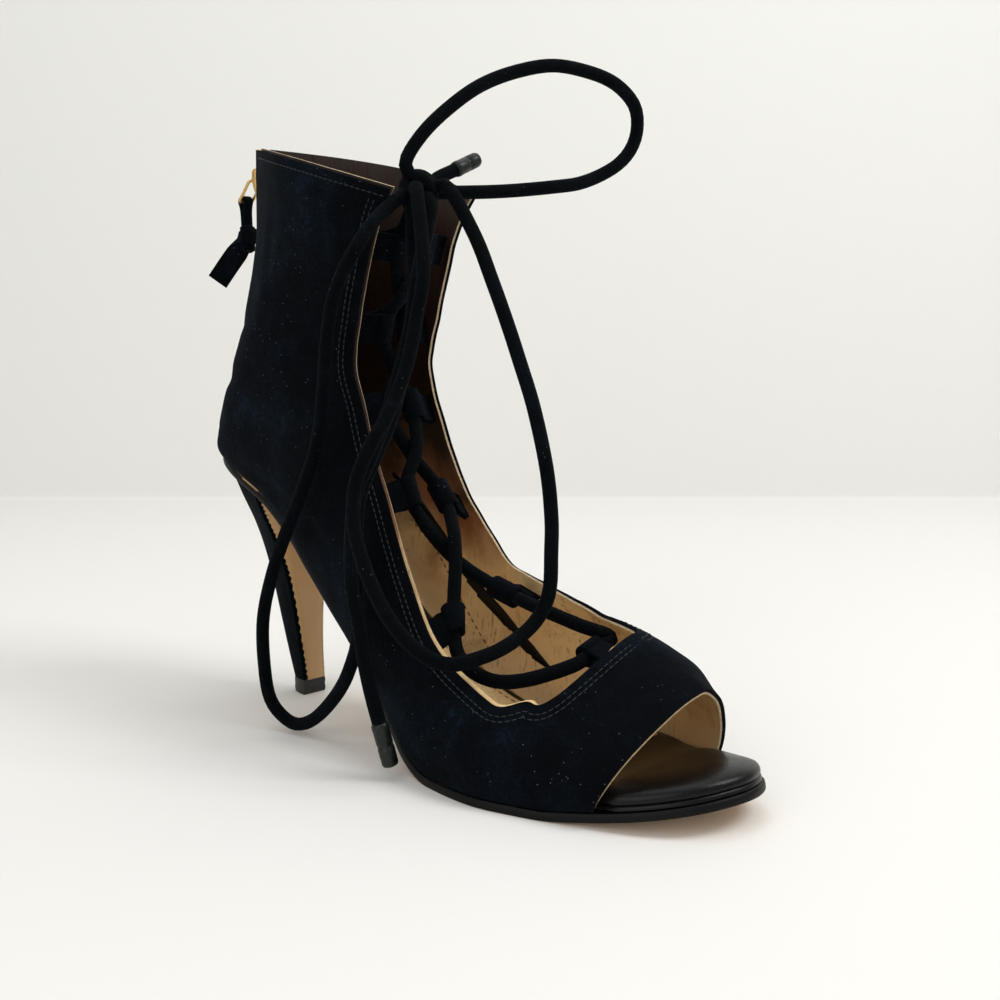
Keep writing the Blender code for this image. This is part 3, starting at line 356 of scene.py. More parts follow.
@dataclass(frozen=True)
class LiningLeather:
    """Cream lining with drawn wrinkles and foot marks, and painted shade up the shaft.

    The painted shade starts and is full at two heights above the floor, and a red brown
    painted shade lies below its start.
    """

    name: str
    clean: Triple = (0.88, 0.62, 0.31)
    worn: Triple = (0.36, 0.15, 0.045)
    cracked: Triple = (0.26, 0.12, 0.04)
    painted_red_shade: Triple = (0.22, 0.050, 0.018)
    painted_shade_tone: Triple = (0.010, 0.0035, 0.0022)
    wrinkles: float = 900.0
    shade_heights: tuple[float, float] = (0.066, 0.094)
    red_shade_height: float = 0.016
    waver: float = 0.05

    def make(self) -> Material:
        """Build the material."""
        paint = Paint(self.name)
        worn = paint.ramp(paint.noise(52.0, 4.0, 0.65), 0.52, 0.72)
        lines = paint.noise(self.wrinkles, 3.0, 0.6, (1.0, 1.0, 0.09))
        cracks = paint.ramp(lines, 0.56, 0.68)
        where = paint.ramp(paint.noise(30.0, 2.0, 0.5), 0.40, 0.60)
        split = paint.node("ShaderNodeSeparateXYZ", Vector=paint.place())
        drift = (paint.noise(40.0, 3.0, 0.6) - 0.5) * self.waver
        height = Expr(paint.tree, split.outputs["Z"]) + drift
        # painted shade: a red brown band just below where the near black shade starts
        red_shade = paint.ramp(height, self.shade_heights[0] - self.red_shade_height, self.shade_heights[0])
        # painted shade: near black from the first height to the second, its edge wavered by noise
        dark = paint.ramp(height, *self.shade_heights)
        colour = paint.mix(worn * 0.5, self.clean, self.worn)
        colour = paint.mix(cracks * where * 0.65, colour, self.cracked)
        colour = paint.mix(red_shade * 0.8, colour, self.painted_red_shade)
        colour = paint.mix(dark * 0.96, colour, self.painted_shade_tone)
        return paint.finish(colour, 0.5, lines * where - cracks * 0.6, 0.0004, 0.6,
                            Specular_IOR_Level=0.35)


@dataclass(frozen=True)
class CutEdge:
    """Painted or raw edge of a leather layer."""

    name: str
    tone: Triple
    roughness: float = 0.6
    fibre_scale: float = 1900.0

    def make(self) -> Material:
        """Build the material."""
        paint = Paint(self.name)
        fibre = paint.noise(self.fibre_scale, 2.0, 0.6, (0.3, 0.3, 1.0))
        darker = tuple(value * 0.55 for value in self.tone)
        colour = paint.mix(paint.ramp(fibre, 0.35, 0.7), darker, self.tone)
        return paint.finish(colour, self.roughness + fibre * 0.1, fibre, 0.0001, 0.6)


@dataclass(frozen=True)
class GoldMetal:
    """Plated metal with handling marks."""

    name: str
    tone: Triple = (0.78, 0.52, 0.20)
    dulled: Triple = (0.50, 0.30, 0.10)
    mark_scale: float = 900.0

    def make(self) -> Material:
        """Build the material."""
        paint = Paint(self.name)
        marks = paint.noise(self.mark_scale, 4.0, 0.6)
        colour = paint.mix(paint.ramp(marks, 0.45, 0.75), self.tone, self.dulled)
        return paint.finish(colour, 0.20 + marks * 0.22, marks, 0.00003, 0.5, Metallic=1.0)


@dataclass(frozen=True)
class Thread:
    """Twisted sewing thread."""

    name: str
    tone: Triple
    twist_scale: float = 5200.0

    def make(self) -> Material:
        """Build the material."""
        paint = Paint(self.name)
        twist = paint.noise(self.twist_scale, 1.0, 0.5)
        colour = paint.mix(twist, tuple(value * 0.6 for value in self.tone), self.tone)
        return paint.finish(colour, 0.65, twist, 0.00005, 0.6)


@dataclass(frozen=True)
class CoatedEnd:
    """Dark coated foil of the lace ends, with a satin sheen, painted shade in the hollows of
    its crumples and painted light on their tops.
    """

    name: str
    hollow_painted_shade: Triple = (0.002, 0.0035, 0.003)
    raised_painted_light: Triple = (0.010, 0.016, 0.012)
    crumple_scale: float = 700.0

    def make(self) -> Material:
        """Build the material."""
        paint = Paint(self.name)
        crumple = paint.noise(self.crumple_scale, 3.0, 0.6)
        # painted shade in the crumples' hollows, painted light on their tops
        colour = paint.mix(paint.ramp(crumple, 0.35, 0.7), self.hollow_painted_shade, self.raised_painted_light)
        return paint.finish(colour, 0.34 + crumple * 0.2, crumple, 0.0002, 0.7,
                            Specular_IOR_Level=0.25, Coat_Weight=0.1)


@dataclass(frozen=True)
class Plaster:
    """Plain pale studio surface."""

    name: str
    tone: Triple
    roughness: float = 0.75

    def make(self) -> Material:
        """Build the material."""
        paint = Paint(self.name)
        cloud = paint.noise(3.0, 3.0, 0.5)
        low = tuple(value * 0.985 for value in self.tone)
        return paint.finish(paint.mix(cloud, low, self.tone), self.roughness)


class Wardrobe:
    """Every finish of the shoe, made once."""

    def __init__(self) -> None:
        """Make the finishes."""
        self.suede = Suede("upper_suede").make()
        self.tab_suede = Suede("tab_suede", (0.0009, 0.0013, 0.0021), (0.0075, 0.0170, 0.0300),
                               60.0, 500.0).make()
        self.lace = Suede("lace_suede", (0.0008, 0.0011, 0.0015), (0.0060, 0.0105, 0.0150),
                          50.0, 700.0, 0.05).make()
        self.lining = LiningLeather("lining_leather").make()
        self.sock = LiningLeather("sock_leather", (0.92, 0.69, 0.37), (0.52, 0.30, 0.11),
                                  shade_heights=(0.2, 0.3)).make()
        self.board = GrainLeather("wrapped_leather", (0.0010, 0.0012, 0.0014),
                                  (0.0024, 0.0028, 0.0032), 0.30, 0.00008, 0.0, 30.0, 0.20).make()
        self.edge = GrainLeather("sole_edge_paint", (0.0010, 0.0012, 0.0013),
                                 (0.0024, 0.0027, 0.0030), 0.45, 0.00005, 0.0, 30.0, 0.15).make()
        self.tan = GrainLeather("tan_sole_leather", (0.50, 0.31, 0.135), (0.40, 0.235, 0.090),
                                0.40, 0.00004, 0.1, 22.0).make()
        self.lift = GrainLeather("top_lift_rubber", (0.008, 0.008, 0.009),
                                 (0.016, 0.016, 0.017), 0.55, 0.0001, 0.0).make()
        self.raw_edge = CutEdge("lining_cut_edge", (0.62, 0.47, 0.28)).make()
        self.tape = CutEdge("zip_tape", (0.010, 0.011, 0.013), 0.85).make()
        self.gold = GoldMetal("zip_gold").make()
        self.dark_thread = Thread("dark_thread", (0.0028, 0.0048, 0.0072)).make()
        self.pale_thread = Thread("lining_thread", (0.16, 0.09, 0.035)).make()
        self.aglet = CoatedEnd("coated_lace_end").make()
        self.floor = Plaster("pale_floor", (0.80, 0.79, 0.765)).make()
        self.wall = Plaster("pale_wall", (0.80, 0.80, 0.77)).make()


# ---- geometry tools


def unit(vectors: Any) -> Array:
    """Vectors scaled to a length of one."""
    vectors = np.asarray(vectors, float)
    return vectors / np.linalg.norm(vectors, axis=-1, keepdims=True)


def headings(path: Array) -> Array:
    """Direction of a path at each of its points."""
    return unit(np.gradient(path, axis=0))


def linked(name: str, data: Any) -> Piece:
    """New object in the scene.

    Args:
        name: its name.
        data: mesh, curve, camera or light.

    Returns:
        The object.
    """
    made = bpy.data.objects.new(name, data)
    bpy.context.scene.collection.objects.link(made)
    return made


class Smooth:
    """Curve through a table's values that never overshoots them."""

    def __init__(self, keys: Sequence[float], values: Sequence[float]) -> None:
        """Work out the tangents of a monotone cubic.

        Args:
            keys: rising places.
            values: value at each place.
        """
        self.keys = np.asarray(keys, float)
        self.values = np.asarray(values, float)
        steps = np.diff(self.keys)
        slopes = np.diff(self.values) / steps
        self.tangents = np.zeros(len(self.keys))
        self.tangents[0] = slopes[0]
        self.tangents[-1] = slopes[-1]
        for i in range(1, len(self.keys) - 1):
            if slopes[i - 1] * slopes[i] > 0:
                first = 2 * steps[i] + steps[i - 1]
                second = steps[i] + 2 * steps[i - 1]
                self.tangents[i] = (first + second) / (first / slopes[i - 1] + second / slopes[i])

    def __call__(self, at: Any) -> Array:
        """Read the curve.

        Args:
            at: places, held inside the table.

        Returns:
            Values.
        """
        at = np.clip(np.asarray(at, float), self.keys[0], self.keys[-1])
        i = np.clip(np.searchsorted(self.keys, at, side="right") - 1, 0, len(self.keys) - 2)
        h = self.keys[i + 1] - self.keys[i]
        t = (at - self.keys[i]) / h
        return ((2 * t**3 - 3 * t**2 + 1) * self.values[i]
                + (t**3 - 2 * t**2 + t) * h * self.tangents[i]
                + (3 * t**2 - 2 * t**3) * self.values[i + 1]
                + (t**3 - t**2) * h * self.tangents[i + 1])


def through(points: Spots, per_span: int, closed: bool = False) -> Array:
    """Smooth samples through points.

    Args:
        points: two or three numbers each.
        per_span: samples from one point to the next.
        closed: whether the last point leads back to the first.

    Returns:
        Samples, one row each.
    """
    points = np.asarray(points, float)
    if closed:
        padded = np.vstack([points[-1:], points, points[:2]])
    else:
        padded = np.vstack([2 * points[0] - points[1], points, 2 * points[-1] - points[-2]])
    t = (np.arange(per_span) / per_span)[:, None]
    rows = []
    for p0, p1, p2, p3 in zip(padded, padded[1:], padded[2:], padded[3:]):
        rows.append(0.5 * (2 * p1 + (p2 - p0) * t + (2 * p0 - 5 * p1 + 4 * p2 - p3) * t**2
                           + (3 * p1 - p0 - 3 * p2 + p3) * t**3))
    return np.vstack(rows if closed else rows + [points[-1:]])


def even(points: Array, step: float) -> Array:
    """Samples of a line at even steps.

    Args:
        points: the line's points.
        step: distance that the samples are nearly apart.

    Returns:
        Samples, one row each, with the line's two ends.
    """
    lengths = np.concatenate([[0], np.cumsum(np.linalg.norm(np.diff(points, axis=0), axis=1))])
    count = max(2, int(round(lengths[-1] / step)) + 1)
    at = np.linspace(0, lengths[-1], count)
    return np.stack([np.interp(at, lengths, points[:, k]) for k in range(points.shape[1])], axis=1)


def grid_faces(rows: int, columns: int, offset: int = 0, flip: bool = False,
               ring: bool = False) -> list[tuple[int, ...]]:
    """Quads of a grid stored row after row.

    Args:
        rows: number of rows.
        columns: vertices in a row.
        offset: index of the first vertex.
        flip: whether the faces are turned round.
        ring: whether each row closes on itself.

    Returns:
        Faces as index tuples.
    """
    faces = []
    for i in range(rows - 1):
        for j in range(columns if ring else columns - 1):
            k = (j + 1) % columns
            a = offset + i * columns
            face = (a + j, a + k, a + columns + k, a + columns + j)
            faces.append(face[::-1] if flip else face)
    return faces


def tube_faces(rings: int, count: int) -> list[tuple[int, ...]]:
    """Faces of a tube with both ends closed.

    Args:
        rings: number of rings.
        count: points in a ring.

    Returns:
        Faces as index tuples.
    """
    end = (rings - 1) * count
    ends = [tuple(range(count))[::-1], tuple(range(end, end + count))]
    return grid_faces(rings, count, ring=True) + ends


def welded(vertices: Any, faces: Sequence[Sequence[int]],
           outward: bool = True) -> bmesh.types.BMesh:
    """Working mesh whose doubles are merged.

    Args:
        vertices: points in metres.
        faces: index tuples.
        outward: whether the normals are recalculated.

    Returns:
        The working mesh.
    """
    draft = bpy.data.meshes.new("draft")
    draft.from_pydata([tuple(map(float, v)) for v in vertices], [], [tuple(f) for f in faces])
    work = bmesh.new()
    work.from_mesh(draft)
    bpy.data.meshes.remove(draft)
    bmesh.ops.remove_doubles(work, verts=work.verts, dist=WELD)
    bmesh.ops.dissolve_degenerate(work, edges=work.edges, dist=SLIVER)
    if outward:
        bmesh.ops.recalc_face_normals(work, faces=work.faces)
    return work


def mesh_object(name: str, vertices: Any, faces: Sequence[Sequence[int]],
                materials: Sequence[Any], outward: bool = True, sharp: float = 45.0,
                pick: Callable[[Any], int] | None = None) -> Piece:
    """Make a mesh object at the origin.

    Args:
        name: object's name.
        vertices: points in metres.
        faces: index tuples.
        materials: the object's materials.
        outward: whether the normals are recalculated.
        sharp: degrees above which an edge stays sharp.
        pick: gives a face's material index.

    Returns:
        The linked object.
    """
    mesh = bpy.data.meshes.new(name)
    work = welded(vertices, faces, outward)
    work.to_mesh(mesh)
    work.free()
    for material in materials:
        mesh.materials.append(material)
    if pick:
        for face in mesh.polygons:
            face.material_index = pick(face)
    mesh.shade_smooth()
    mesh.set_sharp_from_angle(angle=math.radians(sharp))
    return linked(name, mesh)


def settle(obj: Piece) -> Piece:
    """Replace a mesh object's modifiers by their result.

    Args:
        obj: the object, which is changed.

    Returns:
        The same object.
    """
    depsgraph = bpy.context.evaluated_depsgraph_get()
    mesh = bpy.data.meshes.new_from_object(obj.evaluated_get(depsgraph))
    obj.modifiers.clear()
    obj.data = mesh
    return obj


def thicken(obj: Piece, thickness: float, offset: float = -1.0, level: bool = False,
            rim: int = 0) -> Piece:
    """Give a sheet its wall.

    Args:
        obj: the sheet's object.
        thickness: wall in metres.
        offset: -1 for a wall behind the sheet, 0 for one on both sides of it.
        level: whether the wall stays as thick in its bends.
        rim: steps from a face's material to that of the wall's edge.

    Returns:
        The same object.
    """
    wall = obj.modifiers.new("wall", "SOLIDIFY")
    wall.thickness = thickness
    wall.offset = offset
    wall.use_quality_normals = level
    wall.material_offset_rim = rim
    return settle(obj)


def eased(obj: Piece, width: float, limit: float = 30.0) -> Piece:
    """Round an object's sharp edges.

    Args:
        obj: the object, which is changed.
        width: width of the rounding in metres.
        limit: degrees above which an edge is rounded.

    Returns:
        The same object.
    """
    ease = obj.modifiers.new("ease", "BEVEL")
    ease.width = width
    ease.segments = 3
    ease.limit_method = "ANGLE"
    ease.angle_limit = math.radians(limit)
    return settle(obj)


def merged(name: str, parts: Sequence[Piece]) -> Piece:
    """Join mesh objects into one, each keeping its materials.

    Args:
        name: the joined object's name.
        parts: objects, which are removed.

    Returns:
        The joined object.
    """
    work = bmesh.new()
    materials: list[Any] = []
    for part in parts:
        start = len(work.faces)
        work.from_mesh(part.data)
        work.faces.ensure_lookup_table()
        slots = []
        for material in part.data.materials:
            if material not in materials:
                materials.append(material)
            slots.append(materials.index(material))
        for face in work.faces[start:]:
            face.material_index = slots[min(face.material_index, len(slots) - 1)]
    mesh = bpy.data.meshes.new(name)
    work.to_mesh(mesh)
    work.free()
    for material in materials:
        mesh.materials.append(material)
    for part in parts:
        bpy.data.objects.remove(part, do_unlink=True)
    return linked(name, mesh)


def sweep(name: str, path: Array, profile: Sequence[tuple[float, float]], across: Array,
          material: Any, sharp: float = 60.0, taper: Array | None = None) -> Piece:
    """Closed profile swept along a path.

    Args:
        name: object's name.
        path: points, one row each.
        profile: closed outline as (across, lift) pairs in metres.
        across: vector for the profile's first axis, one or one per point.
        material: the object's material.
        sharp: degrees above which an edge stays sharp.
        taper: scale of the profile at each point.

    Returns:
        The linked object.
    """
    across = np.broadcast_to(np.asarray(across, float), path.shape)
    scale = np.ones(len(path)) if taper is None else taper
    vertices = []
    for point, tangent, side, size in zip(path, headings(path), across, scale):
        side = unit(side - tangent * np.dot(side, tangent))
        lift = np.cross(tangent, side)
        vertices += [point + (side * u + lift * v) * size for u, v in profile]
    faces = tube_faces(len(path), len(profile))
    return mesh_object(name, vertices, faces, [material], sharp=sharp)


def rounded_strip(width: float, thickness: float, ease: float) -> list[tuple[float, float]]:
    """Outline of a flat strip with rounded corners.

    Args:
        width: size along the outline's first axis.
        thickness: size along its second axis.
        ease: radius of the corners.

    Returns:
        Points round the outline.
    """
    outline = []
    for sx, sy, start in ((1, 1, 0), (-1, 1, 90), (-1, -1, 180), (1, -1, 270)):
        for step in range(4):
            turn = math.radians(start + 30 * step)
            outline.append((sx * (width / 2 - ease) + ease * math.cos(turn),
                            sy * (thickness / 2 - ease) + ease * math.sin(turn)))
    return outline


def dress(obj: Piece, slot: Slot, *nodes: str, body: str = "shoe") -> Piece:
    """Let a piece ride on its body and stand for CAD nodes.

    Args:
        obj: the finished piece.
        slot: its material slot; not used.
        nodes: names of the CAD nodes that it stands for.
        body: name of the body.

    Returns:
        The same piece.
    """
    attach(obj, body)
    if nodes:
        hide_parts(*nodes)
    return obj


@dataclass
class RowTree:
    """Geometry Nodes tree that lays small stitches, or blocks, along a line."""

    name: str
    block: bool = False
    tree: bpy.types.NodeTree = field(init=False)

    def __post_init__(self) -> None:
        """Build the tree with its named inputs."""
        tree = bpy.data.node_groups.new(self.name, "GeometryNodeTree")
        self.tree = tree
        face = tree.interface
        face.new_socket("Geometry", in_out="OUTPUT", socket_type="NodeSocketGeometry")
        face.new_socket("Line", in_out="INPUT", socket_type="NodeSocketGeometry")
        for label in ("Spacing", "Length", "Width", "Height"):
            face.new_socket(label, in_out="INPUT", socket_type="NodeSocketFloat")
        face.new_socket("Finish", in_out="INPUT", socket_type="NodeSocketMaterial")
        into = tree.nodes.new("NodeGroupInput")
        out = tree.nodes.new("NodeGroupOutput")
        curve = tree.nodes.new("GeometryNodeMeshToCurve")
        points = tree.nodes.new("GeometryNodeCurveToPoints")
        points.mode = "LENGTH"
        kind, values = (("GeometryNodeMeshCube", {"Size": (2, 2, 2)}) if self.block else
                        ("GeometryNodeMeshUVSphere", {"Segments": 8, "Rings": 5, "Radius": 1.0}))
        shape = tree.nodes.new(kind)
        for label, value in values.items():
            shape.inputs[label].default_value = value
        size = tree.nodes.new("ShaderNodeCombineXYZ")
        copies = tree.nodes.new("GeometryNodeInstanceOnPoints")
        solid = tree.nodes.new("GeometryNodeRealizeInstances")
        finish = tree.nodes.new("GeometryNodeSetMaterial")
        for source, label, target, socket in (
                (into, "Line", curve, "Mesh"), (curve, "Curve", points, "Curve"),
                (into, "Spacing", points, "Length"), (points, "Points", copies, "Points"),
                (points, "Rotation", copies, "Rotation"), (shape, "Mesh", copies, "Instance"),
                (size, "Vector", copies, "Scale"), (copies, "Instances", solid, "Geometry"),
                (solid, "Geometry", finish, "Geometry"), (into, "Finish", finish, "Material"),
                (finish, "Geometry", out, "Geometry")):
            tree.links.new(source.outputs[label], target.inputs[socket])
        for axis, label in (("X", "Width"), ("Y", "Height"), ("Z", "Length")):
            half = tree.nodes.new("ShaderNodeMath")
            half.operation = "MULTIPLY"
            half.inputs[1].default_value = 0.5
            tree.links.new(into.outputs[label], half.inputs[0])
            tree.links.new(half.outputs[0], size.inputs[axis])

    def lay(self, name: str, lines: Sequence[Array], material: Any,
            **sizes: float) -> Piece:
        """Lay the shape along lines.

        Args:
            name: object's name.
            lines: point rows, one array for each line.
            material: the copies' material.
            sizes: Spacing, Length, Width and Height in metres.

        Returns:
            A plain mesh object.
        """
        vertices = np.vstack(lines)
        mesh = bpy.data.meshes.new(name)
        edges = []
        start = 0
        for line in lines:
            edges += [(start + i, start + i + 1) for i in range(len(line) - 1)]
            start += len(line)
        mesh.from_pydata([tuple(map(float, v)) for v in vertices], edges, [])
        made = linked(name, mesh)
        modifier = made.modifiers.new("row", "NODES")
        modifier.node_group = self.tree
        values = {**sizes, "Finish": material}
        for item in self.tree.interface.items_tree:
            if item.in_out == "INPUT" and item.name in values:
                modifier[item.identifier] = values[item.name]
        settle(made)
        made.data.shade_smooth()
        return made


# ---- the last


@dataclass
class Last:
    """Outer surface of the upper, read at a place among its sections.

    Place 0 is the section at the open toe. The places rise along the foot to the heel back at
    seat_row, and then up the shaft. Angle 0 is a section's foot, 1 its widest point and 2 its
    crown. The vamp is closed up to vamp_row, and the throat is full from throat_row.
    """

    length: float = 0.2185
    ball: float = 0.076
    heel: float = 0.086
    shaft: float = 0.1035
    ankle: float = 0.052
    heel_set: float = 0.0315
    seat_lift: float = 0.0028
    feather: float = 0.0005
    collar_bow: float = 0.0028
    squareness: float = 2.4
    seat_row: int = 11
    zip_start: float = 12.2
    vamp_row: int = 2
    throat_row: int = 3
    steps: int = 12
    slope_step: float = 0.0015
    heel_blend: float = 1.8
    outline: tuple[Triple, ...] = (
        (0.000, 0.000, 0.000), (0.034, -0.217, 0.217), (0.121, -0.296, 0.296),
        (0.236, -0.257, 0.243), (0.350, -0.243, 0.204), (0.470, -0.345, 0.238),
        (0.577, -0.465, 0.335), (0.690, -0.513, 0.445), (0.768, -0.472, 0.464),
        (0.854, -0.388, 0.370), (0.927, -0.297, 0.278), (0.978, -0.172, 0.185),
        (1.000, 0.015, 0.015))
    sole: tuple[tuple[float, float], ...] = (
        (0.000, 1.000), (0.080, 0.925), (0.158, 0.840), (0.215, 0.715), (0.268, 0.560),
        (0.325, 0.405), (0.387, 0.285), (0.442, 0.195), (0.501, 0.105), (0.556, 0.036),
        (0.615, 0.000), (0.790, 0.000), (0.854, 0.017), (0.922, 0.047), (1.000, 0.093))
    # seat, crown x, crown z, ridge, wide at, then wide, throat and flat of both sides
    foot: tuple[tuple[float, ...], ...] = (
        (9.15, 0.917, 0.384, 0.050, 0.10, -0.382, 0.358, 0.050, 0.050, 1.30, 1.25),
        (8.60, 0.858, 0.448, 0.080, 0.12, -0.420, 0.408, 0.080, 0.080, 1.40, 1.00),
        (8.05, 0.794, 0.506, 0.090, 0.12, -0.462, 0.456, 0.090, 0.090, 1.45, 1.05),
        (7.60, 0.748, 0.530, 0.110, 0.12, -0.496, 0.460, -0.310, 0.170, 1.42, 1.10),
        (7.00, 0.707, 0.558, 0.105, 0.14, -0.516, 0.454, -0.378, 0.215, 1.38, 1.15),
        (6.00, 0.605, 0.700, 0.066, 0.20, -0.472, 0.385, -0.362, 0.237, 1.25, 1.20),
        (5.00, 0.532, 0.895, 0.030, 0.30, -0.400, 0.340, -0.303, 0.285, 1.22, 1.15),
        (4.00, 0.473, 1.070, 0.010, 0.36, -0.368, 0.325, -0.257, 0.275, 1.10, 1.05),
        (3.00, 0.436, 1.209, 0.000, 0.36, -0.362, 0.335, -0.237, 0.250, 1.00, 1.00),
        (2.00, 0.427, 1.314, 0.000, 0.34, -0.355, 0.345, -0.230, 0.235, 0.95, 0.95),
        (1.00, 0.425, 1.395, 0.000, 0.33, -0.350, 0.345, -0.230, 0.230, 0.92, 0.92),
        (0.00, 0.428, 1.465, 0.000, 0.32, -0.348, 0.343, -0.230, 0.230, 0.90, 0.90))
    # back x, y, z, crown x, crown z, wide at, half, throat, flat, keen
    rise: tuple[tuple[float, ...], ...] = (
        (0.010, 0.000, 0.150, 0.438, 0.457, 0.33, 0.505, 0.337, 0.90, 0.95),
        (0.050, -0.030, 0.371, 0.456, 0.590, 0.38, 0.485, 0.337, 0.90, 0.80),
        (0.070, -0.060, 0.657, 0.483, 0.714, 0.45, 0.475, 0.340, 0.90, 0.64),
        (0.078, -0.070, 1.000, 0.506, 0.772, 0.50, 0.500, 0.345, 0.90, 0.60))

    def __post_init__(self) -> None:
        """Prepare the outline's ring and the curves through the tables."""
        outer = [(self.x_at(a), o * self.ball) for a, o, _ in self.outline]
        inner = [(self.x_at(a), i * self.ball) for a, _, i in self.outline]
        self.ring = through(outer + inner[-2:0:-1], self.steps, closed=True)
        self.stations = (len(self.outline) - 1) * self.steps
        self.profile = Smooth(*zip(*self.sole))
        self.edges = self.inset(lambda x: 0 * x + self.feather)
        keys = range(len(self.foot) + len(self.rise))

        def curve(foot: Sequence[float], rise: Sequence[float]) -> Smooth:
            """Curve through a column of both tables."""
            return Smooth(keys, list(foot) + list(rise))

        foot, rise = np.array(self.foot).T, np.array(self.rise).T
        self.seat = Smooth(range(len(self.foot)), foot[0])
        self.crown_x = curve(self.x_at(foot[1]), self.x_at(rise[3]))
        self.crown_z = curve(foot[2] * self.heel, self.heel + rise[4] * self.shaft)
        self.ridge = curve(foot[3] * self.ball, rise[0] * 0)
        self.wide_at = curve(foot[4], rise[5])
        self.keen = curve(foot[0] * 0 + 1, rise[9])
        self.wide = {Side.OUTER: curve(foot[5] * self.ball, -rise[6] * self.ankle),
                     Side.INNER: curve(foot[6] * self.ball, rise[6] * self.ankle)}
        self.cut = {Side.OUTER: curve(foot[7] * self.ball, -rise[7] * self.ankle),
                    Side.INNER: curve(foot[8] * self.ball, rise[7] * self.ankle)}
        for cut in self.cut.values():
            cut.tangents[self.throat_row] = 0.0
        self.flat = {Side.OUTER: curve(foot[9], rise[8]), Side.INNER: curve(foot[10], rise[8])}
        self.top = float(len(keys) - 1)
        start = self.base(np.array([float(self.seat_row)]), Side.OUTER)[0]
        backs = np.stack([self.x_at(rise[0]), rise[1] * self.ankle,
                          self.heel + rise[2] * self.shaft], axis=1)
        rows = np.vstack([start[None], backs])
        self.back = [Smooth(range(self.seat_row, int(self.top) + 1), rows[:, k]) for k in range(3)]

    def x_at(self, share: Any) -> Any:
        """Level place of a share of the shoe's length."""
        return -self.heel_set + np.asarray(share) * self.length

    def under(self, x: Any) -> Array:
        """Height of the sole's underside.

        Args:
            x: level places along the shoe, also a little past its ends.

        Returns:
            Heights in metres.
        """
        share = (np.asarray(x, float) + self.heel_set) / self.length
        inside = np.clip(share, 0, 1)
        slope = np.where(share > 0.5, 0.5897, -0.9375)
        return (self.profile(inside) + slope * (share - inside)) * self.heel

    def slope(self, x: Array) -> Array:
        """Slope of the sole's underside."""
        step = self.slope_step
        return (self.under(x + step) - self.under(x - step)) / (2 * step)

    def on_sole(self, x: Any, y: Any, lift: Any) -> Array:
        """Points above the sole.

        Args:
            x: level places along the shoe.
            y: level places across it.
            lift: heights square to the sole's underside.

        Returns:
            Points, one row each.
        """
        x, y, lift = np.broadcast_arrays(x, y, lift)
        slope = self.slope(x)
        size = np.sqrt(1 + slope**2)
        return np.stack([x - slope / size * lift, y, self.under(x) + lift / size], axis=-1)

    def inset(self, distance: Callable[[Array], Array]) -> tuple[Array, Array]:
        """Edges of the sole moved inward.

        Args:
            distance: gives the distance in metres at an x.

        Returns:
            Outer and inner edge, from the heel to the toe.
        """
        along = unit(np.roll(self.ring, -1, axis=0) - np.roll(self.ring, 1, axis=0))
        normal = np.stack([-along[:, 1], along[:, 0]], axis=1)
        moved = self.ring + normal * np.asarray(distance(self.ring[:, 0]))[:, None]
        index = np.arange(self.stations + 1)
        return moved[index], moved[-index % len(moved)]

    def base(self, place: Array, side: Side) -> Array:
        """Foot of each section, on the feather line or on the back line.

        Args:
            place: places among the sections.
            side: half of the shoe.

        Returns:
            Points, one row each.
        """
        place = np.asarray(place, float)
        edge = self.edges[0 if side is Side.OUTER else 1]
        at = self.seat(np.minimum(place, self.seat_row)) * self.steps
        index = np.arange(len(edge))
        x, y = (np.interp(at, index, edge[:, k]) for k in range(2))
        seat = self.seat_lift * np.sqrt(1 + self.slope(x) ** 2) + 0.0001
        low = np.stack([x, y, self.under(x) + seat], axis=-1)
        if not hasattr(self, "back"):
            return low
        high = np.stack([curve(place) for curve in self.back], axis=-1)
        return np.where((place <= self.seat_row)[..., None], low, high)

    def section_point(self, place: Array, side: Side, angle: Array) -> Array:
        """Points on single sections.

        Args:
            place: places among the sections.
            side: half of the shoe.
            angle: 0 at a section's foot to 2 at its crown.

        Returns:
            Points, one row each.
        """
        foot = self.base(place, side)
        ridge, wide, flat = self.ridge(place), self.wide[side](place), self.flat[side](place)
        wide_at = self.wide_at(place)
        low = np.clip(angle, 0, 1) * math.pi / 2
        high = np.clip(angle - 1, 0, 1) * math.pi / 2
        up = np.where(angle <= 1, wide_at * (1 - np.cos(low)) ** self.keen(place),
                      wide_at + (1 - wide_at) * np.sin(high) ** flat)
        y = np.where(angle <= 1, foot[..., 1] + (wide - foot[..., 1]) * np.sin(low),
                     ridge + (wide - ridge) * np.maximum(np.cos(high), 0) ** flat)
        share = np.clip((place - self.seat_row) / (self.top - self.seat_row), 0, 1)
        bow = self.collar_bow * 4 * up * (1 - up) * share**3
        return np.stack([foot[..., 0] + (self.crown_x(place) - foot[..., 0]) * up, y,
                         foot[..., 2] + (self.crown_z(place) - foot[..., 2]) * up + bow], axis=-1)

    def point(self, place: Any, side: Side, angle: Any) -> Array:
        """Points of the surface, blended round the heel.

        Args:
            place: places among the sections.
            side: half of the shoe.
            angle: 0 at a section's foot to 2 at its crown.

        Returns:
            Points, one row each.
        """
        place, angle = np.broadcast_arrays(np.asarray(place, float), np.asarray(angle, float))
        near = np.clip(1 - np.abs(place - self.seat_row) / self.heel_blend, 0, 1)
        spread = near * np.minimum(1.0, angle / 0.55)
        total = np.zeros(place.shape + (3,))
        for weight, shift in ((1, -1.0), (4, -0.5), (6, 0.0), (4, 0.5), (1, 1.0)):
            total += self.section_point(place + shift * spread, side, angle) * weight / 16
        return total

